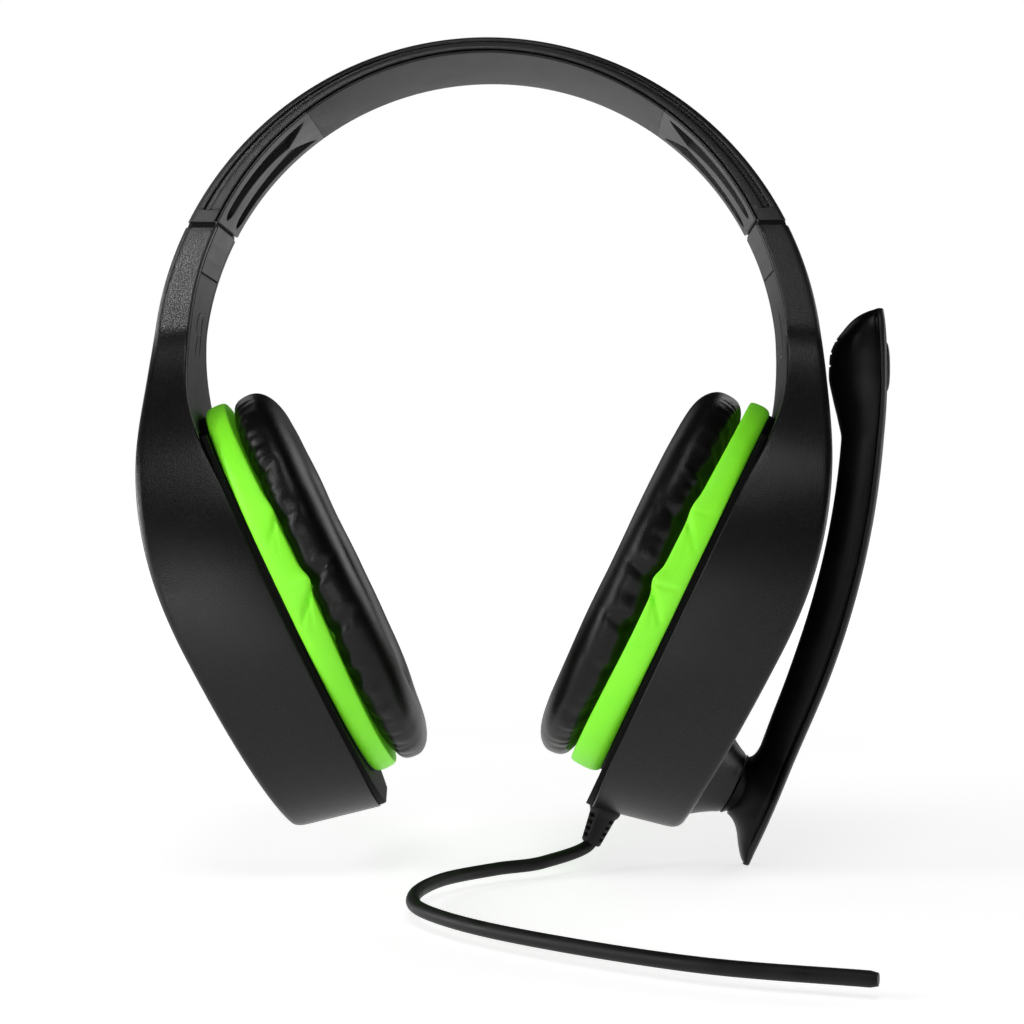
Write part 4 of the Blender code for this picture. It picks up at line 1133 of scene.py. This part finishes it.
def rim_outline(inwards, inset):
    """The cup's rim from its top, down the front, to the bottom and back up the rear."""
    stations = shell_stations(arm_share(COVER_END_Z - 1.0), 0.997, 60)
    half = [(along, arm_section(along)[2] - inset) for along in stations]
    points = [arm_point(along, 0, -width) for along, width in half]
    points += [arm_point(along, 0, width) for along, width in reversed(half)]
    on_plane = []
    for point in points:
        height = (point - CUP_ORIGIN).dot(CUP_OUT)
        on_plane.append(point - CUP_OUT * (height + inwards))
    return on_plane


def make_baffle(side):
    """The plate that closes the cup, with a skirt that reaches into it."""
    rings = [
        rim_outline(-2.0, WALL + 0.2),
        rim_outline(BAFFLE_FROM - 0.02, WALL + 0.2),
        rim_outline(BAFFLE_FROM, BAFFLE_INSET),
        rim_outline(BAFFLE_TO - 0.35, BAFFLE_INSET),
        rim_outline(BAFFLE_TO - 0.1, BAFFLE_INSET + 0.1),
        rim_outline(BAFFLE_TO, BAFFLE_INSET + 0.35),
    ]
    smooth_normals(make_arm_piece(side, "baffle_plate", loft(rings), INNER, "baffle"))


def cup_ring(semi_width, semi_height, inwards, count):
    """A ring round the cup's axis, so many millimetres inwards to the ear."""
    ring = []
    for i in range(count):
        forward, up = superellipse(2 * math.pi * i / count, semi_width, semi_height)
        ring.append(cup_point(forward, up, inwards))
    return ring


def make_scrim(side):
    """Cloth over the loudspeaker, slightly slack in its middle."""
    shares = (1.0, 0.9, 0.75, 0.6, 0.45, 0.3, 0.15, 0.04)
    face = [(share, SCRIM_INWARDS + 0.9 * (1 - share**2)) for share in shares]
    back = [(share, SCRIM_INWARDS - 0.4) for share in (0.04, 1.0)]
    rings = [cup_ring(EAR_SEMI_WIDTH * share, EAR_SEMI_HEIGHT * share, at, 96) for share, at in face + back]
    make_arm_piece(side, "speaker_cloth", loft(rings, closed=True), SCRIM, "scrim")


# ---- ear cushions ----------------------------------------------------------------------------


def crease(s, v, start, end, width):
    """1 on the line from start to end in (mm along, mm across), falling to 0 at the width and the far end."""
    ds, dv = end[0] - start[0], end[1] - start[1]
    length = math.hypot(ds, dv)
    along = clamp(((s - start[0]) * ds + (v - start[1]) * dv) / length**2)
    off = math.hypot(s - start[0] - ds * along, v - start[1] - dv * along)
    return math.exp(-((off / width) ** 2)) * (1 - along) ** 0.6


def band_folds(angle, v, side):
    """Outward and inward-going displacement of the green band at a place: folds on its front."""
    up = BAND_SEMI_HEIGHT * math.sin(angle)
    front = clamp(-math.cos(angle) * 1.6)
    s = -up
    across = v * (BAND_TO - BAND_FROM)
    out, towards = 0.0, 0.0
    for at, size in ((1.5, 1.0), (-16.5, 0.45)):
        local = s - at
        bulge = math.exp(-(((local + 1.6) / 2.6) ** 2)) * smooth(v * 1.6 - 0.5)
        out += 0.75 * size * bulge
        towards += 1.1 * size * bulge
        out -= 1.2 * size * crease(local, across, (0.8, 6.8), (7.5, 1.4), 0.55)
        out -= 0.5 * size * crease(local, across, (-0.6, 6.6), (-1.8, 0.8), 0.5)
        out -= 0.4 * size * crease(local, across, (2.4, 5.6), (9.5, 3.4), 0.4)
    out *= front
    towards *= front
    where = Vector((math.cos(angle) * 5, math.sin(angle) * 5, v * 0.8 + side * 7))
    out += 0.10 * noise.noise(where) + 0.05 * noise.noise(where * 3.1)
    return out, towards


def seam_shift(up, side):
    """How much nearer the cup the seam between band and cushion lies; the two cushions sit differently."""
    lower = 1.1 * smooth(-up / 40) if side < 0 else -1.0 * smooth((-up - 10) / 35)
    return SEAM_SHIFT * smooth((up - 5) / 38) + lower


def band_section_points():
    """(depth, inset) points round the band's outer face, fuller in its middle."""
    middle, half = (BAND_FROM + BAND_TO) / 2, (BAND_TO - BAND_FROM) / 2
    points = []
    for degrees in steps(-90, 90, 25):
        angle = math.radians(degrees)
        depth = middle + half * math.copysign(abs(math.sin(angle)) ** 0.85, angle)
        most = 2.4 if angle < 0 else 0.9
        points.append((depth, most * (1 - abs(math.cos(angle)) ** 0.62)))
    return points


def make_green_band(side):
    """The green side wall: a soft band, with folds where it is gathered."""
    section = band_section_points()
    width = BAND_TO - BAND_FROM
    rows = []
    for i in range(BAND_AROUND):
        angle = 2 * math.pi * i / BAND_AROUND
        squeeze = 1 - seam_shift(BAND_SEMI_HEIGHT * math.sin(angle), side) / width
        row = []
        for full_depth, inset in section:
            depth = BAND_FROM + (full_depth - BAND_FROM) * squeeze
            out, towards = band_folds(angle, (full_depth - BAND_FROM) / width, side)
            grow = out - inset
            forward, up = superellipse(angle, BAND_SEMI_WIDTH + grow, BAND_SEMI_HEIGHT + grow)
            row.append(cup_point(forward, up, depth + towards))
        forward, up = superellipse(angle, EAR_SEMI_WIDTH + 4, EAR_SEMI_HEIGHT + 4)
        row += [cup_point(forward, up, BAND_FROM + width * squeeze), cup_point(forward, up, BAND_FROM)]
        rows.append(row)
    builder = loft(rows, closed=True)
    make_arm_piece(side, "green_band", builder, GREEN_LEATHER, "cushion_band", 70)


def make_band_collar(side):
    """The dark collar that the green band is stretched over, between the baffle and the band."""
    section = ((-2.5, 2.6), (BAFFLE_TO - 0.6, 1.3), (BAND_FROM + 0.3, 1.3), (BAND_FROM + 1.6, 1.6))
    rings = []
    for inwards, inset in section:
        rings.append(cup_ring(BAND_SEMI_WIDTH - inset, BAND_SEMI_HEIGHT - inset, inwards, 200))
    make_arm_piece(side, "band_collar", loft(rings), INNER, None)


def cushion_flattening(up, side):
    """How much thinner a cushion is: the right one is pressed down a little, most at its lower end."""
    if side > 0:
        return 0.0
    return 0.9 + 1.2 * smooth((-up - 20) / 25)


def cushion_start(side):
    """Points round the cushion's section, row after row, before it is blown up, in cup coordinates."""
    seam, top = CUSHION_FROM - 0.5, CUSHION_TO - 0.8
    middle, half = (seam + top) / 2, (top - seam) / 2
    centre_w = (CUSHION_SEMI_WIDTH + EAR_SEMI_WIDTH) / 2
    centre_h = (CUSHION_SEMI_HEIGHT + EAR_SEMI_HEIGHT) / 2
    reach = (CUSHION_SEMI_WIDTH - EAR_SEMI_WIDTH) / 2
    points = []
    for i in range(CUSHION_AROUND):
        angle = 2 * math.pi * i / CUSHION_AROUND
        for k in range(CUSHION_ACROSS):
            turn = 2 * math.pi * k / CUSHION_ACROSS
            squareness = 2.15 + 2.2 * max(0.0, -math.sin(turn))
            x, z = superellipse(turn, reach * CUSHION_SHRINK, half * CUSHION_SHRINK, squareness)
            forward, up = superellipse(angle, centre_w + x, centre_h + x)
            height = (z + half) / (2 * half)
            lower = seam_shift(up, side) * (1 - height) + cushion_flattening(up, side) * height
            points.append((forward, up - CUSHION_DROP, middle + z - lower))
    return np.array(points, float)


def cushion_faces():
    """Corners of the faces between the cushion's rows, as numbers of its points."""
    faces = []
    for i in range(CUSHION_AROUND):
        row, next_row = i * CUSHION_ACROSS, (i + 1) % CUSHION_AROUND * CUSHION_ACROSS
        for k in range(CUSHION_ACROSS):
            k2 = (k + 1) % CUSHION_ACROSS
            faces.append((row + k, next_row + k, next_row + k2, row + k2))
    return faces


def make_cushion(side):
    """The black cushion: blown up as cloth, then gathered and creased along its seam."""
    points = cushion_start(side)
    points = inflate(points, side)
    builder = bmesh.new()
    verts = [builder.verts.new(cup_point(*point)) for point in wrinkle(points, side)]
    for corners in cushion_faces():
        builder.faces.new([verts[index] for index in reversed(corners)])
    piece = make_arm_piece(side, "ear_cushion", builder, BLACK_LEATHER, "cushion", 180)
    divide = piece.modifiers.new("subdivision", "SUBSURF")
    divide.levels = 1
    divide.render_levels = 1


def add_cloth(cloth_object):
    """Cloth blown up from inside, without weight, with the seam held still."""
    held = cloth_object.vertex_groups.new(name="held")
    for index in range(len(cloth_object.data.vertices)):
        turn = 2 * math.pi * (index % CUSHION_ACROSS) / CUSHION_ACROSS
        if math.sin(turn) < -0.8:
            held.add([index], 1.0, "REPLACE")
    modifier = cloth_object.modifiers.new("cloth", "CLOTH")
    settings = modifier.settings
    settings.quality = 5
    settings.mass = 0.3
    settings.use_pressure = True
    settings.uniform_pressure_force = 4.0
    settings.shrink_min = 0.0
    settings.tension_stiffness = 15
    settings.compression_stiffness = 15
    settings.shear_stiffness = 5
    settings.bending_stiffness = 0.3
    settings.vertex_group_mass = held.name
    settings.effector_weights.gravity = 0.0
    modifier.collision_settings.use_collision = False


def inflate(points, side):
    """Blows the cushion up with a cloth simulation at ten times its size.

    Its growth is limited and smoothed afterwards.
    """
    rng = np.random.default_rng(11 if side > 0 else 23)
    start = points + rng.normal(0, 0.05, points.shape)
    mesh = bpy.data.meshes.new("cushion_cloth")
    mesh.from_pydata((start * MM * SIM_SCALE).tolist(), [], cushion_faces())
    cloth_object = bpy.data.objects.new("cushion_cloth", mesh)
    scene = bpy.context.scene
    scene.collection.objects.link(cloth_object)
    add_cloth(cloth_object)
    for step in range(1, SIM_STEPS + 1):
        scene.frame_set(step)
    evaluated = cloth_object.evaluated_get(bpy.context.evaluated_depsgraph_get())
    moved = np.empty(len(points) * 3, np.float32)
    evaluated.data.vertices.foreach_get("co", moved)
    moved = moved.reshape(-1, 3).astype(float) / (MM * SIM_SCALE)
    scene.frame_set(1)
    bpy.data.objects.remove(cloth_object, do_unlink=True)
    shift = (moved - points).reshape(CUSHION_AROUND, CUSHION_ACROSS, 3)
    for _ in range(SMOOTHING_PASSES):
        near = np.roll(shift, 1, 0) + np.roll(shift, -1, 0) + np.roll(shift, 1, 1) + np.roll(shift, -1, 1)
        shift = 0.5 * shift + 0.125 * near
    shift = shift.reshape(-1, 3)
    length = np.linalg.norm(shift, axis=1, keepdims=True)
    return points + shift * np.minimum(1.0, MOST_INFLATION / np.maximum(length, 1e-9))


def crease_depth(along, turn, front):
    """Depth of the deep creases at a place on the side wall, with raised lips beside them."""
    depth = 0.0
    for at, most, width, reach in CREASES:
        bent = along - at - 1.5 * (turn - SEAM_TURN)
        run = math.exp(-(((turn - SEAM_TURN - 0.45) / reach) ** 2))
        dent = math.exp(-((bent / width) ** 2))
        lip = 0.35 * math.exp(-(((bent - 2.6 * width) / (1.6 * width)) ** 2))
        depth += most * run * (dent - lip)
    return depth * front


def wrinkle(points, side):
    """Fine puckers gathered along the seam, a few deep creases at the front and soft dents further out."""
    out = points.copy()
    seed = 3.0 if side > 0 else 11.0
    for index, point in enumerate(points):
        i, k = divmod(index, CUSHION_ACROSS)
        angle = 2 * math.pi * i / CUSHION_AROUND
        turn = 2 * math.pi * k / CUSHION_ACROSS
        if turn > math.pi:
            turn -= 2 * math.pi
        around = Vector((45 * math.cos(angle), 45 * math.sin(angle), 0))
        outward = Vector((math.cos(angle), math.sin(angle) * 0.87, 0)).normalized()
        normal = outward * math.cos(turn) + Vector((0, 0, math.sin(turn)))
        warp = Vector((0, 0, seed + turn * 0.16))
        ridge = noise.noise(around * 0.28 + warp)
        fine = noise.noise(around * 0.5 + warp * 1.7)
        where = 0.45 + 0.55 * smooth(0.5 + noise.noise(around * 0.045 + warp) * 2.0)
        calm = 1 - 0.6 * smooth((abs(math.sin(angle)) - 0.9) / 0.08)
        seam = math.exp(-(((turn - SEAM_TURN - 0.6) / 0.6) ** 2))
        pucker = min(1.0, abs(ridge) * 2.8) ** 0.8
        amount = seam * where * calm * (0.75 * pucker - 0.5 + 0.3 * fine)
        amount -= crease_depth(point[1], turn, clamp(-math.cos(angle) * 1.6))
        broad = 0.3 * noise.noise(around * 0.06 + warp * 3)
        out[index] = point + np.array(normal * (amount + broad))
    return out


# ---- microphone boom -------------------------------------------------------------------------


def boom_angles(first, last, count):
    """Angles along the boom, closer together towards both ends."""
    return [first + (last - first) * (0.5 - 0.5 * math.cos(math.pi * t)) ** 0.92 for t in steps(0, 1, count)]


def tip_round(degrees):
    """How far the outer face draws back near the tips, which are rounded off."""
    from_tip = min(degrees - BOOM_STATIONS[0][0], BOOM_STATIONS[-1][0] - degrees)
    short = max(0.0, TIP_RADIUS - math.radians(from_tip) * BOOM_RADIUS)
    return TIP_RADIUS - math.sqrt(TIP_RADIUS**2 - short**2)


def boom_cover_depth(degrees):
    """Depth of the cover, which thins with the boom at both tips."""
    usual = min(BOOM_COVER, boom_size(degrees)[0] * 0.45)
    return max(usual, tip_round(degrees) + 0.15)


def boom_groove(degrees):
    """Width of the groove under the cover, which closes up at the tips."""
    tail = smooth((degrees + 33.6) / 1.6)
    head = smooth((4.35 - degrees) / 0.6)
    return 0.01 + (BOOM_GROOVE - 0.01) * min(tail, head)


def boom_shell_ring(degrees):
    thickness, width = boom_size(degrees)
    cover = boom_cover_depth(degrees)
    top = cover + boom_groove(degrees)
    thickness = max(thickness, top + 0.1)
    tongue = width - min(1.3, width * 0.3)
    edge = min(0.25, (thickness - top) * 0.3)
    ring = [(cover - 0.1, -tongue), (cover - 0.1, tongue), (top, tongue), (top, width - edge)]
    ring.append((top + edge * 0.3, width - edge * 0.3))
    for turn in steps(0.0, math.pi, 41):
        ring.append((top + edge + (thickness - top - edge) * math.sin(turn), width * math.cos(turn)))
    ring.append((top + edge * 0.3, edge * 0.3 - width))
    ring += [(top, edge - width), (top, -tongue)]
    return [boom_point(degrees, depth, y) for depth, y in ring]


def flare(point):
    """Pulls the boom's inner face out to the round seat on the pivot, along a hollow curve."""
    local = PIVOT_FRAME.inverted() @ point
    radius = math.hypot(local.x, local.y)
    edge, reach = SOCKET_TOP_RADIUS - 0.3, 4.4
    if radius > edge + reach:
        return point
    height = 1.0
    if radius > edge:
        height = 1 - math.sqrt(max(0.0, 1 - (1 - (radius - edge) / reach) ** 2))
    height *= smooth((7.2 - local.z) / 4.5)
    local.z += (SEAM_GAP + 0.25 - local.z) * height
    return PIVOT_FRAME @ local


def make_boom_shell():
    rings = []
    for degrees in boom_angles(BOOM_STATIONS[0][0], BOOM_STATIONS[-1][0], 420):
        rings.append([flare(point) for point in boom_shell_ring(degrees)])
    piece = make_piece("boom_body", loft(rings), BOOM, "boom", ["boom_shell"], sharp=60)
    radius = SOCKET_TOP_RADIUS
    seat = [(0, SEAM_GAP), (radius - 0.15, SEAM_GAP), (radius, SEAM_GAP + 0.15), (radius - 0.15, 0.5)]
    seat += [(radius - 1.0, 1.4), (5.5, 4.0), (0, 4.0)]
    make_piece("boom_seat", turned(seat, PIVOT_FRAME, 96), BOOM, "boom", ())
    return piece


def make_grille(body):
    """Three short slots over the microphone."""
    for i, degrees in enumerate((2.55, 1.65, 0.75)):
        matrix = boom_matrix(degrees, boom_size(degrees)[0])
        rows = []
        for y in steps(-GRILLE_HALF_LENGTH, GRILLE_HALF_LENGTH, 15):
            share = y / GRILLE_HALF_LENGTH
            end = math.sqrt(max(0.02, 1 - share**4))
            row = []
            for turn in steps(0, 2 * math.pi, 13)[:-1]:
                x = 0.36 * end * math.cos(turn)
                z = 0.34 * end * math.sin(turn) + 1.05 * share**2
                row.append(matrix @ Vector((x, y, z)))
            rows.append(row)
        apply_cut(body, make_cutter(f"grille_cutter_{i}", loft(rows)))


def make_cutter(name, builder):
    mesh = mesh_from(name, builder)
    mesh.materials.append(INNER)
    cutter = bpy.data.objects.new(name, mesh)
    bpy.context.scene.collection.objects.link(cutter)
    return cutter


def apply_cut(piece, cutter):
    """Cuts once and for all, so that no helper object stays in the scene."""
    if INNER.name not in piece.data.materials:
        piece.data.materials.append(INNER)
    boolean = piece.modifiers.new("cut", "BOOLEAN")
    boolean.object = cutter
    boolean.operation = "DIFFERENCE"
    boolean.solver = "EXACT"
    boolean.material_mode = "TRANSFER"
    graph = bpy.context.evaluated_depsgraph_get()
    cut_mesh = bpy.data.meshes.new_from_object(piece.evaluated_get(graph))
    piece.modifiers.remove(boolean)
    old = piece.data
    piece.data = cut_mesh
    cut_mesh.name = old.name + "_cut"
    bpy.data.meshes.remove(old)
    bpy.data.objects.remove(cutter, do_unlink=True)


def boom_cover_ring(degrees):
    width = boom_size(degrees)[1]
    far = boom_cover_depth(degrees)
    edge = min(0.3, far * 0.3)
    half = [(far, 0.0), (far, width - edge), (far - edge * 0.3, width - edge * 0.3), (far - edge, width)]
    for turn in steps(0, math.pi / 2, 13)[1:]:
        rise = math.sin(turn) ** 0.8
        half.append(((far - edge * 1.5) * (1 - rise), width * max(0.0, math.cos(turn)) ** 0.75))
    half[-1] = (0.0, 0.0)
    half = [(max(depth, tip_round(degrees)), y) for depth, y in half]
    mirrored = [(depth, -y) for depth, y in reversed(half[1:-1])]
    return [boom_point(degrees, depth, y) for depth, y in half + mirrored]


def button_ring(grow, depth):
    """An oval in the pod's outer face, its long side along the boom."""
    matrix = boom_matrix(BUTTON_ANGLE)
    points = []
    for angle in steps(0, 2 * math.pi, 65)[:-1]:
        x = (BUTTON_SEMI_LENGTH + grow) * math.cos(angle)
        y = (BUTTON_SEMI_WIDTH + grow) * math.sin(angle)
        points.append(matrix @ Vector((x, y, -depth)))
    return points


def make_boom_cover():
    stations = boom_angles(BOOM_STATIONS[0][0], BOOM_STATIONS[-1][0], 320)
    rings = [boom_cover_ring(degrees) for degrees in stations]
    piece = make_piece("boom_trim", loft(rings), SATIN, "boom", ["boom_cover"], sharp=60)
    hole = loft([button_ring(GAP, BUTTON_RECESS), button_ring(GAP, -2.0)])
    cutter = make_cutter("button_hole_cutter", hole)
    apply_cut(piece, cutter)


def make_button():
    rings = [button_ring(0, 1.1), button_ring(0, 0.2), button_ring(0, -0.1)]
    for degrees in steps(15, 90, 6):
        angle = math.radians(degrees)
        rings.append(button_ring(-2.6 * (1 - math.cos(angle)), -0.1 - (BUTTON_PROUD - 0.1) * math.sin(angle)))
    make_piece("mute_key", loft(rings), BOOM, "mute_button", ["mute_button"], sharp=60)


def make_socket():
    """The boss on the cup, which narrows on a hollow curve up to the boom's seat."""
    profile = [(2.2, -0.9), (5.4, -0.9), (5.4, -SEAM_GAP - 0.3), (5.7, -SEAM_GAP)]
    profile += [(SOCKET_TOP_RADIUS - 0.3, -SEAM_GAP), (SOCKET_TOP_RADIUS - 0.08, -SEAM_GAP - 0.08)]
    profile.append((SOCKET_TOP_RADIUS, -SEAM_GAP - 0.3))
    for t in steps(0.08, 1, 14):
        grow = (SOCKET_BASE_RADIUS - SOCKET_TOP_RADIUS) * t**1.25
        profile.append((SOCKET_TOP_RADIUS + grow, -SOCKET_LENGTH * t))
    profile += [(5.0, -SOCKET_LENGTH - 0.2), (2.2, -SOCKET_LENGTH - 0.2)]
    builder = turned(profile, PIVOT_FRAME, 128)
    make_piece("boom_boss", builder, SHELL, "left_arm", ["boom_socket"], sharp=50)


# ---- cable -----------------------------------------------------------------------------------


def relief_radius(height):
    return 3.2 - 0.9 * (height - RELIEF_COLLAR) / (RELIEF_LENGTH - RELIEF_COLLAR)


def make_strain_relief():
    """A collar at the cup and a tapered sleeve with a row of slots on either side."""
    matrix = frame_along(RELIEF_TOP, RELIEF_AXIS)
    collar = [(0.0, -2.5), (2.4, -2.4), (3.6, -0.6), (3.9, 0.4), (3.7, 1.2), (3.25, RELIEF_COLLAR)]
    heights = []
    for i in range(RELIEF_SLOTS):
        start = 2.3 + i * 1.6
        heights += [start, start + 0.8]
    heights.append(RELIEF_LENGTH - 0.4)
    profile = collar + [(relief_radius(height), height) for height in heights]
    profile.append((relief_radius(RELIEF_LENGTH) - 0.35, RELIEF_LENGTH))
    profile += [(CABLE_RADIUS, RELIEF_LENGTH), (0.0, RELIEF_LENGTH)]
    builder = bmesh.new()
    grid = turned_rows(builder, profile, matrix, RELIEF_SEGMENTS)
    slotted = {len(collar) + 2 * i for i in range(RELIEF_SLOTS)}
    pockets = []
    for index, (lower, upper) in enumerate(zip(grid, grid[1:])):
        faces = join_turned(builder, lower, upper, RELIEF_SEGMENTS)
        if index not in slotted:
            continue
        for k, face in enumerate(faces):
            angle = 360 * (k + 0.5) / RELIEF_SEGMENTS % 180
            if 7 < min(angle, 180 - angle) < 53:
                pockets.append(face)

    def inwards(point):
        local = matrix.inverted() @ point
        return matrix.to_3x3() @ Vector((local.x, local.y, 0)).normalized() * -0.9

    push_in(builder, pockets, inwards, 0.16)
    replaced = ["strain_relief"]
    piece = make_piece("cable_sleeve", builder, RUBBER, "left_arm", replaced, sharp=45)
    smooth_normals(piece)


def catmull_rom(before, first, second, after, t):
    return 0.5 * (
        2 * first
        + (second - before) * t
        + (2 * before - 5 * first + 4 * second - after) * t**2
        + (3 * first - before - 3 * second + after) * t**3
    )


def make_cable():
    start = RELIEF_TOP + RELIEF_AXIS * (RELIEF_LENGTH - 0.5)
    table = [Vector(point) for point in CABLE_POINTS]
    knots = [table[0] - RELIEF_AXIS * CABLE_EXIT_PULL, start] + table
    knots.append(knots[-1] * 2 - knots[-2])
    path = [start]
    for before, first, second, after in zip(knots, knots[1:], knots[2:], knots[3:]):
        path += [catmull_rom(before, first, second, after, t) for t in steps(0, 1, 25)[1:]]
    rings = []
    for i, point in enumerate(path):
        direction = (path[min(i + 1, len(path) - 1)] - path[max(i - 1, 0)]).normalized()
        across = Vector((0, 0, 1)).cross(direction).normalized() * CABLE_RADIUS
        upwards = direction.cross(across)
        end = 0.8 if i == len(path) - 1 else 1.0
        turns = steps(0, 2 * math.pi, 25)[:-1]
        rings.append([point + (across * math.cos(a) + upwards * math.sin(a)) * end for a in turns])
    make_piece("headset_cable", loft(rings), RUBBER, "left_arm", ["cable"], sharp=60)


# ---- carried-over CAD nodes ------------------------------------------------------------------


STEEL_PARTS = (
    "slider_strip",
    "strip_screw",
    "detent_spring",
    "upper_screw",
    "lower_screw",
    "driver_magnet",
)


def dress_node(name, material, bevel=0.0):
    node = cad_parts[name]
    node.data.materials.clear()
    node.data.materials.append(material)
    if bevel:
        soften_edges(node, bevel)


def dress_inner_nodes():
    for side in (1, -1):
        name = word(side)
        dress_node(name + "_slider_guide", LINER, 0.15)
        for part in STEEL_PARTS:
            dress_node(f"{name}_{part}", STEEL)
        dress_node(name + "_driver_frame", INNER)
        dress_node(name + "_driver_diaphragm", FILM)
    for name in ("headband_spring", "boom_washer", "boom_pin", "mic_capsule"):
        dress_node(name, STEEL)
    dress_node("mic_boot", RUBBER)
    dress_node("mic_board", BOARD)
    dress_node("terminal_board", BOARD)


# ---- stage -----------------------------------------------------------------------------------


def make_floor():
    """A plain white floor that glows a little, more so far away, so that it has no horizon."""
    material = Material("floor_white", (0.6, 0.6, 0.6), 0.7)
    cloud = material.noise(400.0, 2.0)
    material.colours(cloud, (0.595, 0.595, 0.595), (0.605, 0.605, 0.605))
    distance = material.nodes.new("ShaderNodeVectorMath")
    distance.operation = "LENGTH"
    material.links.new(material.place, distance.inputs[0])
    glow = material.remap(distance.outputs["Value"], 0.35, 1.6, 0.717, 1.1)
    material.links.new(glow, material.shader.inputs["Emission Strength"])
    material.set(Emission_Color=(1, 1, 1, 1))
    mesh = bpy.data.meshes.new("floor")
    signs = ((-1, -1), (1, -1), (1, 1), (-1, 1))
    corners = [(x * FLOOR_REACH, y * FLOOR_REACH, FLOOR_Z * MM) for x, y in signs]
    mesh.from_pydata(corners, [], [(0, 1, 2, 3)])
    mesh.materials.append(material.material)
    floor = bpy.data.objects.new("floor", mesh)
    bpy.context.scene.collection.objects.link(floor)


# (name, place in metres, size in metres, power in watts): low soft boxes at the sides and a dim ceiling
LIGHTS = (
    ("front_left_low", (-1.1, -0.5, -0.05), 0.5, 2.4),
    ("front_left_high", (-1.1, -0.5, 0.4), 0.5, 5.6),
    ("left_low", (-1.1, 0.2, -0.05), 0.5, 8.0),
    ("right_low", (1.1, 0.2, -0.05), 0.5, 3.6),
    ("back_left", (-0.8, 1.2, 0.5), 0.8, 1.5),
    ("back_right", (0.8, 1.2, 0.5), 0.8, 3.4),
    ("ceiling", (0.0, -0.6, 0.9), 0.5, 3.1),
)
LIGHT_TARGET = Vector((0, 0, -0.1))
# (name, place, target, power in watts, cone in degrees): narrow lights on the right arm and cup
SNOOTS = (
    ("arm_accent", (-0.3, -1.1, -0.13), (-0.0705, -0.013, -0.0487), 170.0, 6.5),
    ("rim_accent", (-0.05, -1.1, -0.13), (-0.0517, -0.042, -0.1277), 40.0, 2.0),
)
SNOOT_RADIUS = 0.14


def make_light(name, kind, place, target, power):
    data = bpy.data.lights.new(name, kind)
    data.energy = power
    light = bpy.data.objects.new(name, data)
    bpy.context.scene.collection.objects.link(light)
    light.location = place
    light.rotation_mode = "QUATERNION"
    light.rotation_quaternion = (Vector(target) - Vector(place)).to_track_quat("-Z", "Y")
    return data


def make_lights():
    for name, place, size, power in LIGHTS:
        data = make_light(name, "AREA", place, LIGHT_TARGET, power)
        data.shape = "SQUARE"
        data.size = size
    for name, place, target, power, cone in SNOOTS:
        data = make_light(name, "SPOT", place, target, power)
        data.spot_size = math.radians(cone)
        data.spot_blend = 1.0
        data.shadow_soft_size = SNOOT_RADIUS


def make_world():
    """White behind the floor for the camera, and almost no light from it."""
    world = bpy.data.worlds.new("studio")
    bpy.context.scene.world = world
    world.use_nodes = True
    nodes, links = world.node_tree.nodes, world.node_tree.links
    background = nodes["Background"]
    background.inputs["Color"].default_value = (1, 1, 1, 1)
    background.inputs["Strength"].default_value = 0.01
    seen = nodes.new("ShaderNodeBackground")
    seen.inputs["Color"].default_value = (1, 1, 1, 1)
    seen.inputs["Strength"].default_value = 1.0
    rays = nodes.new("ShaderNodeLightPath")
    mix = nodes.new("ShaderNodeMixShader")
    links.new(rays.outputs["Is Camera Ray"], mix.inputs["Fac"])
    links.new(background.outputs["Background"], mix.inputs[1])
    links.new(seen.outputs["Background"], mix.inputs[2])
    links.new(mix.outputs["Shader"], nodes["World Output"].inputs["Surface"])


def make_camera():
    data = bpy.data.cameras.new("camera")
    data.lens = 72.07
    data.sensor_width = 36.0
    camera = bpy.data.objects.new("camera", data)
    bpy.context.scene.collection.objects.link(camera)
    camera.location = (0.0198, -0.4996, -0.108)
    camera.rotation_euler = (math.radians(90), 0, math.radians(1.6))
    data.clip_start, data.clip_end = 0.01, 100
    bpy.context.scene.camera = camera


# ---- the whole headset -----------------------------------------------------------------------


def main():
    make_headband_shell()
    make_headband_pad()
    for side in (1, -1):
        make_vent_panel(side)
        make_shell(side)
        make_junction_shade_plate(side)
        make_arm_cover(side)
        make_side_letter(side)
        make_baffle(side)
        make_scrim(side)
        make_band_collar(side)
        make_green_band(side)
        make_cushion(side)
    make_grille(make_boom_shell())
    make_boom_cover()
    make_button()
    make_socket()
    make_strain_relief()
    make_cable()
    dress_inner_nodes()
    make_floor()
    make_lights()
    make_world()
    make_camera()
    bpy.context.scene.view_settings.view_transform = "Standard"


main()
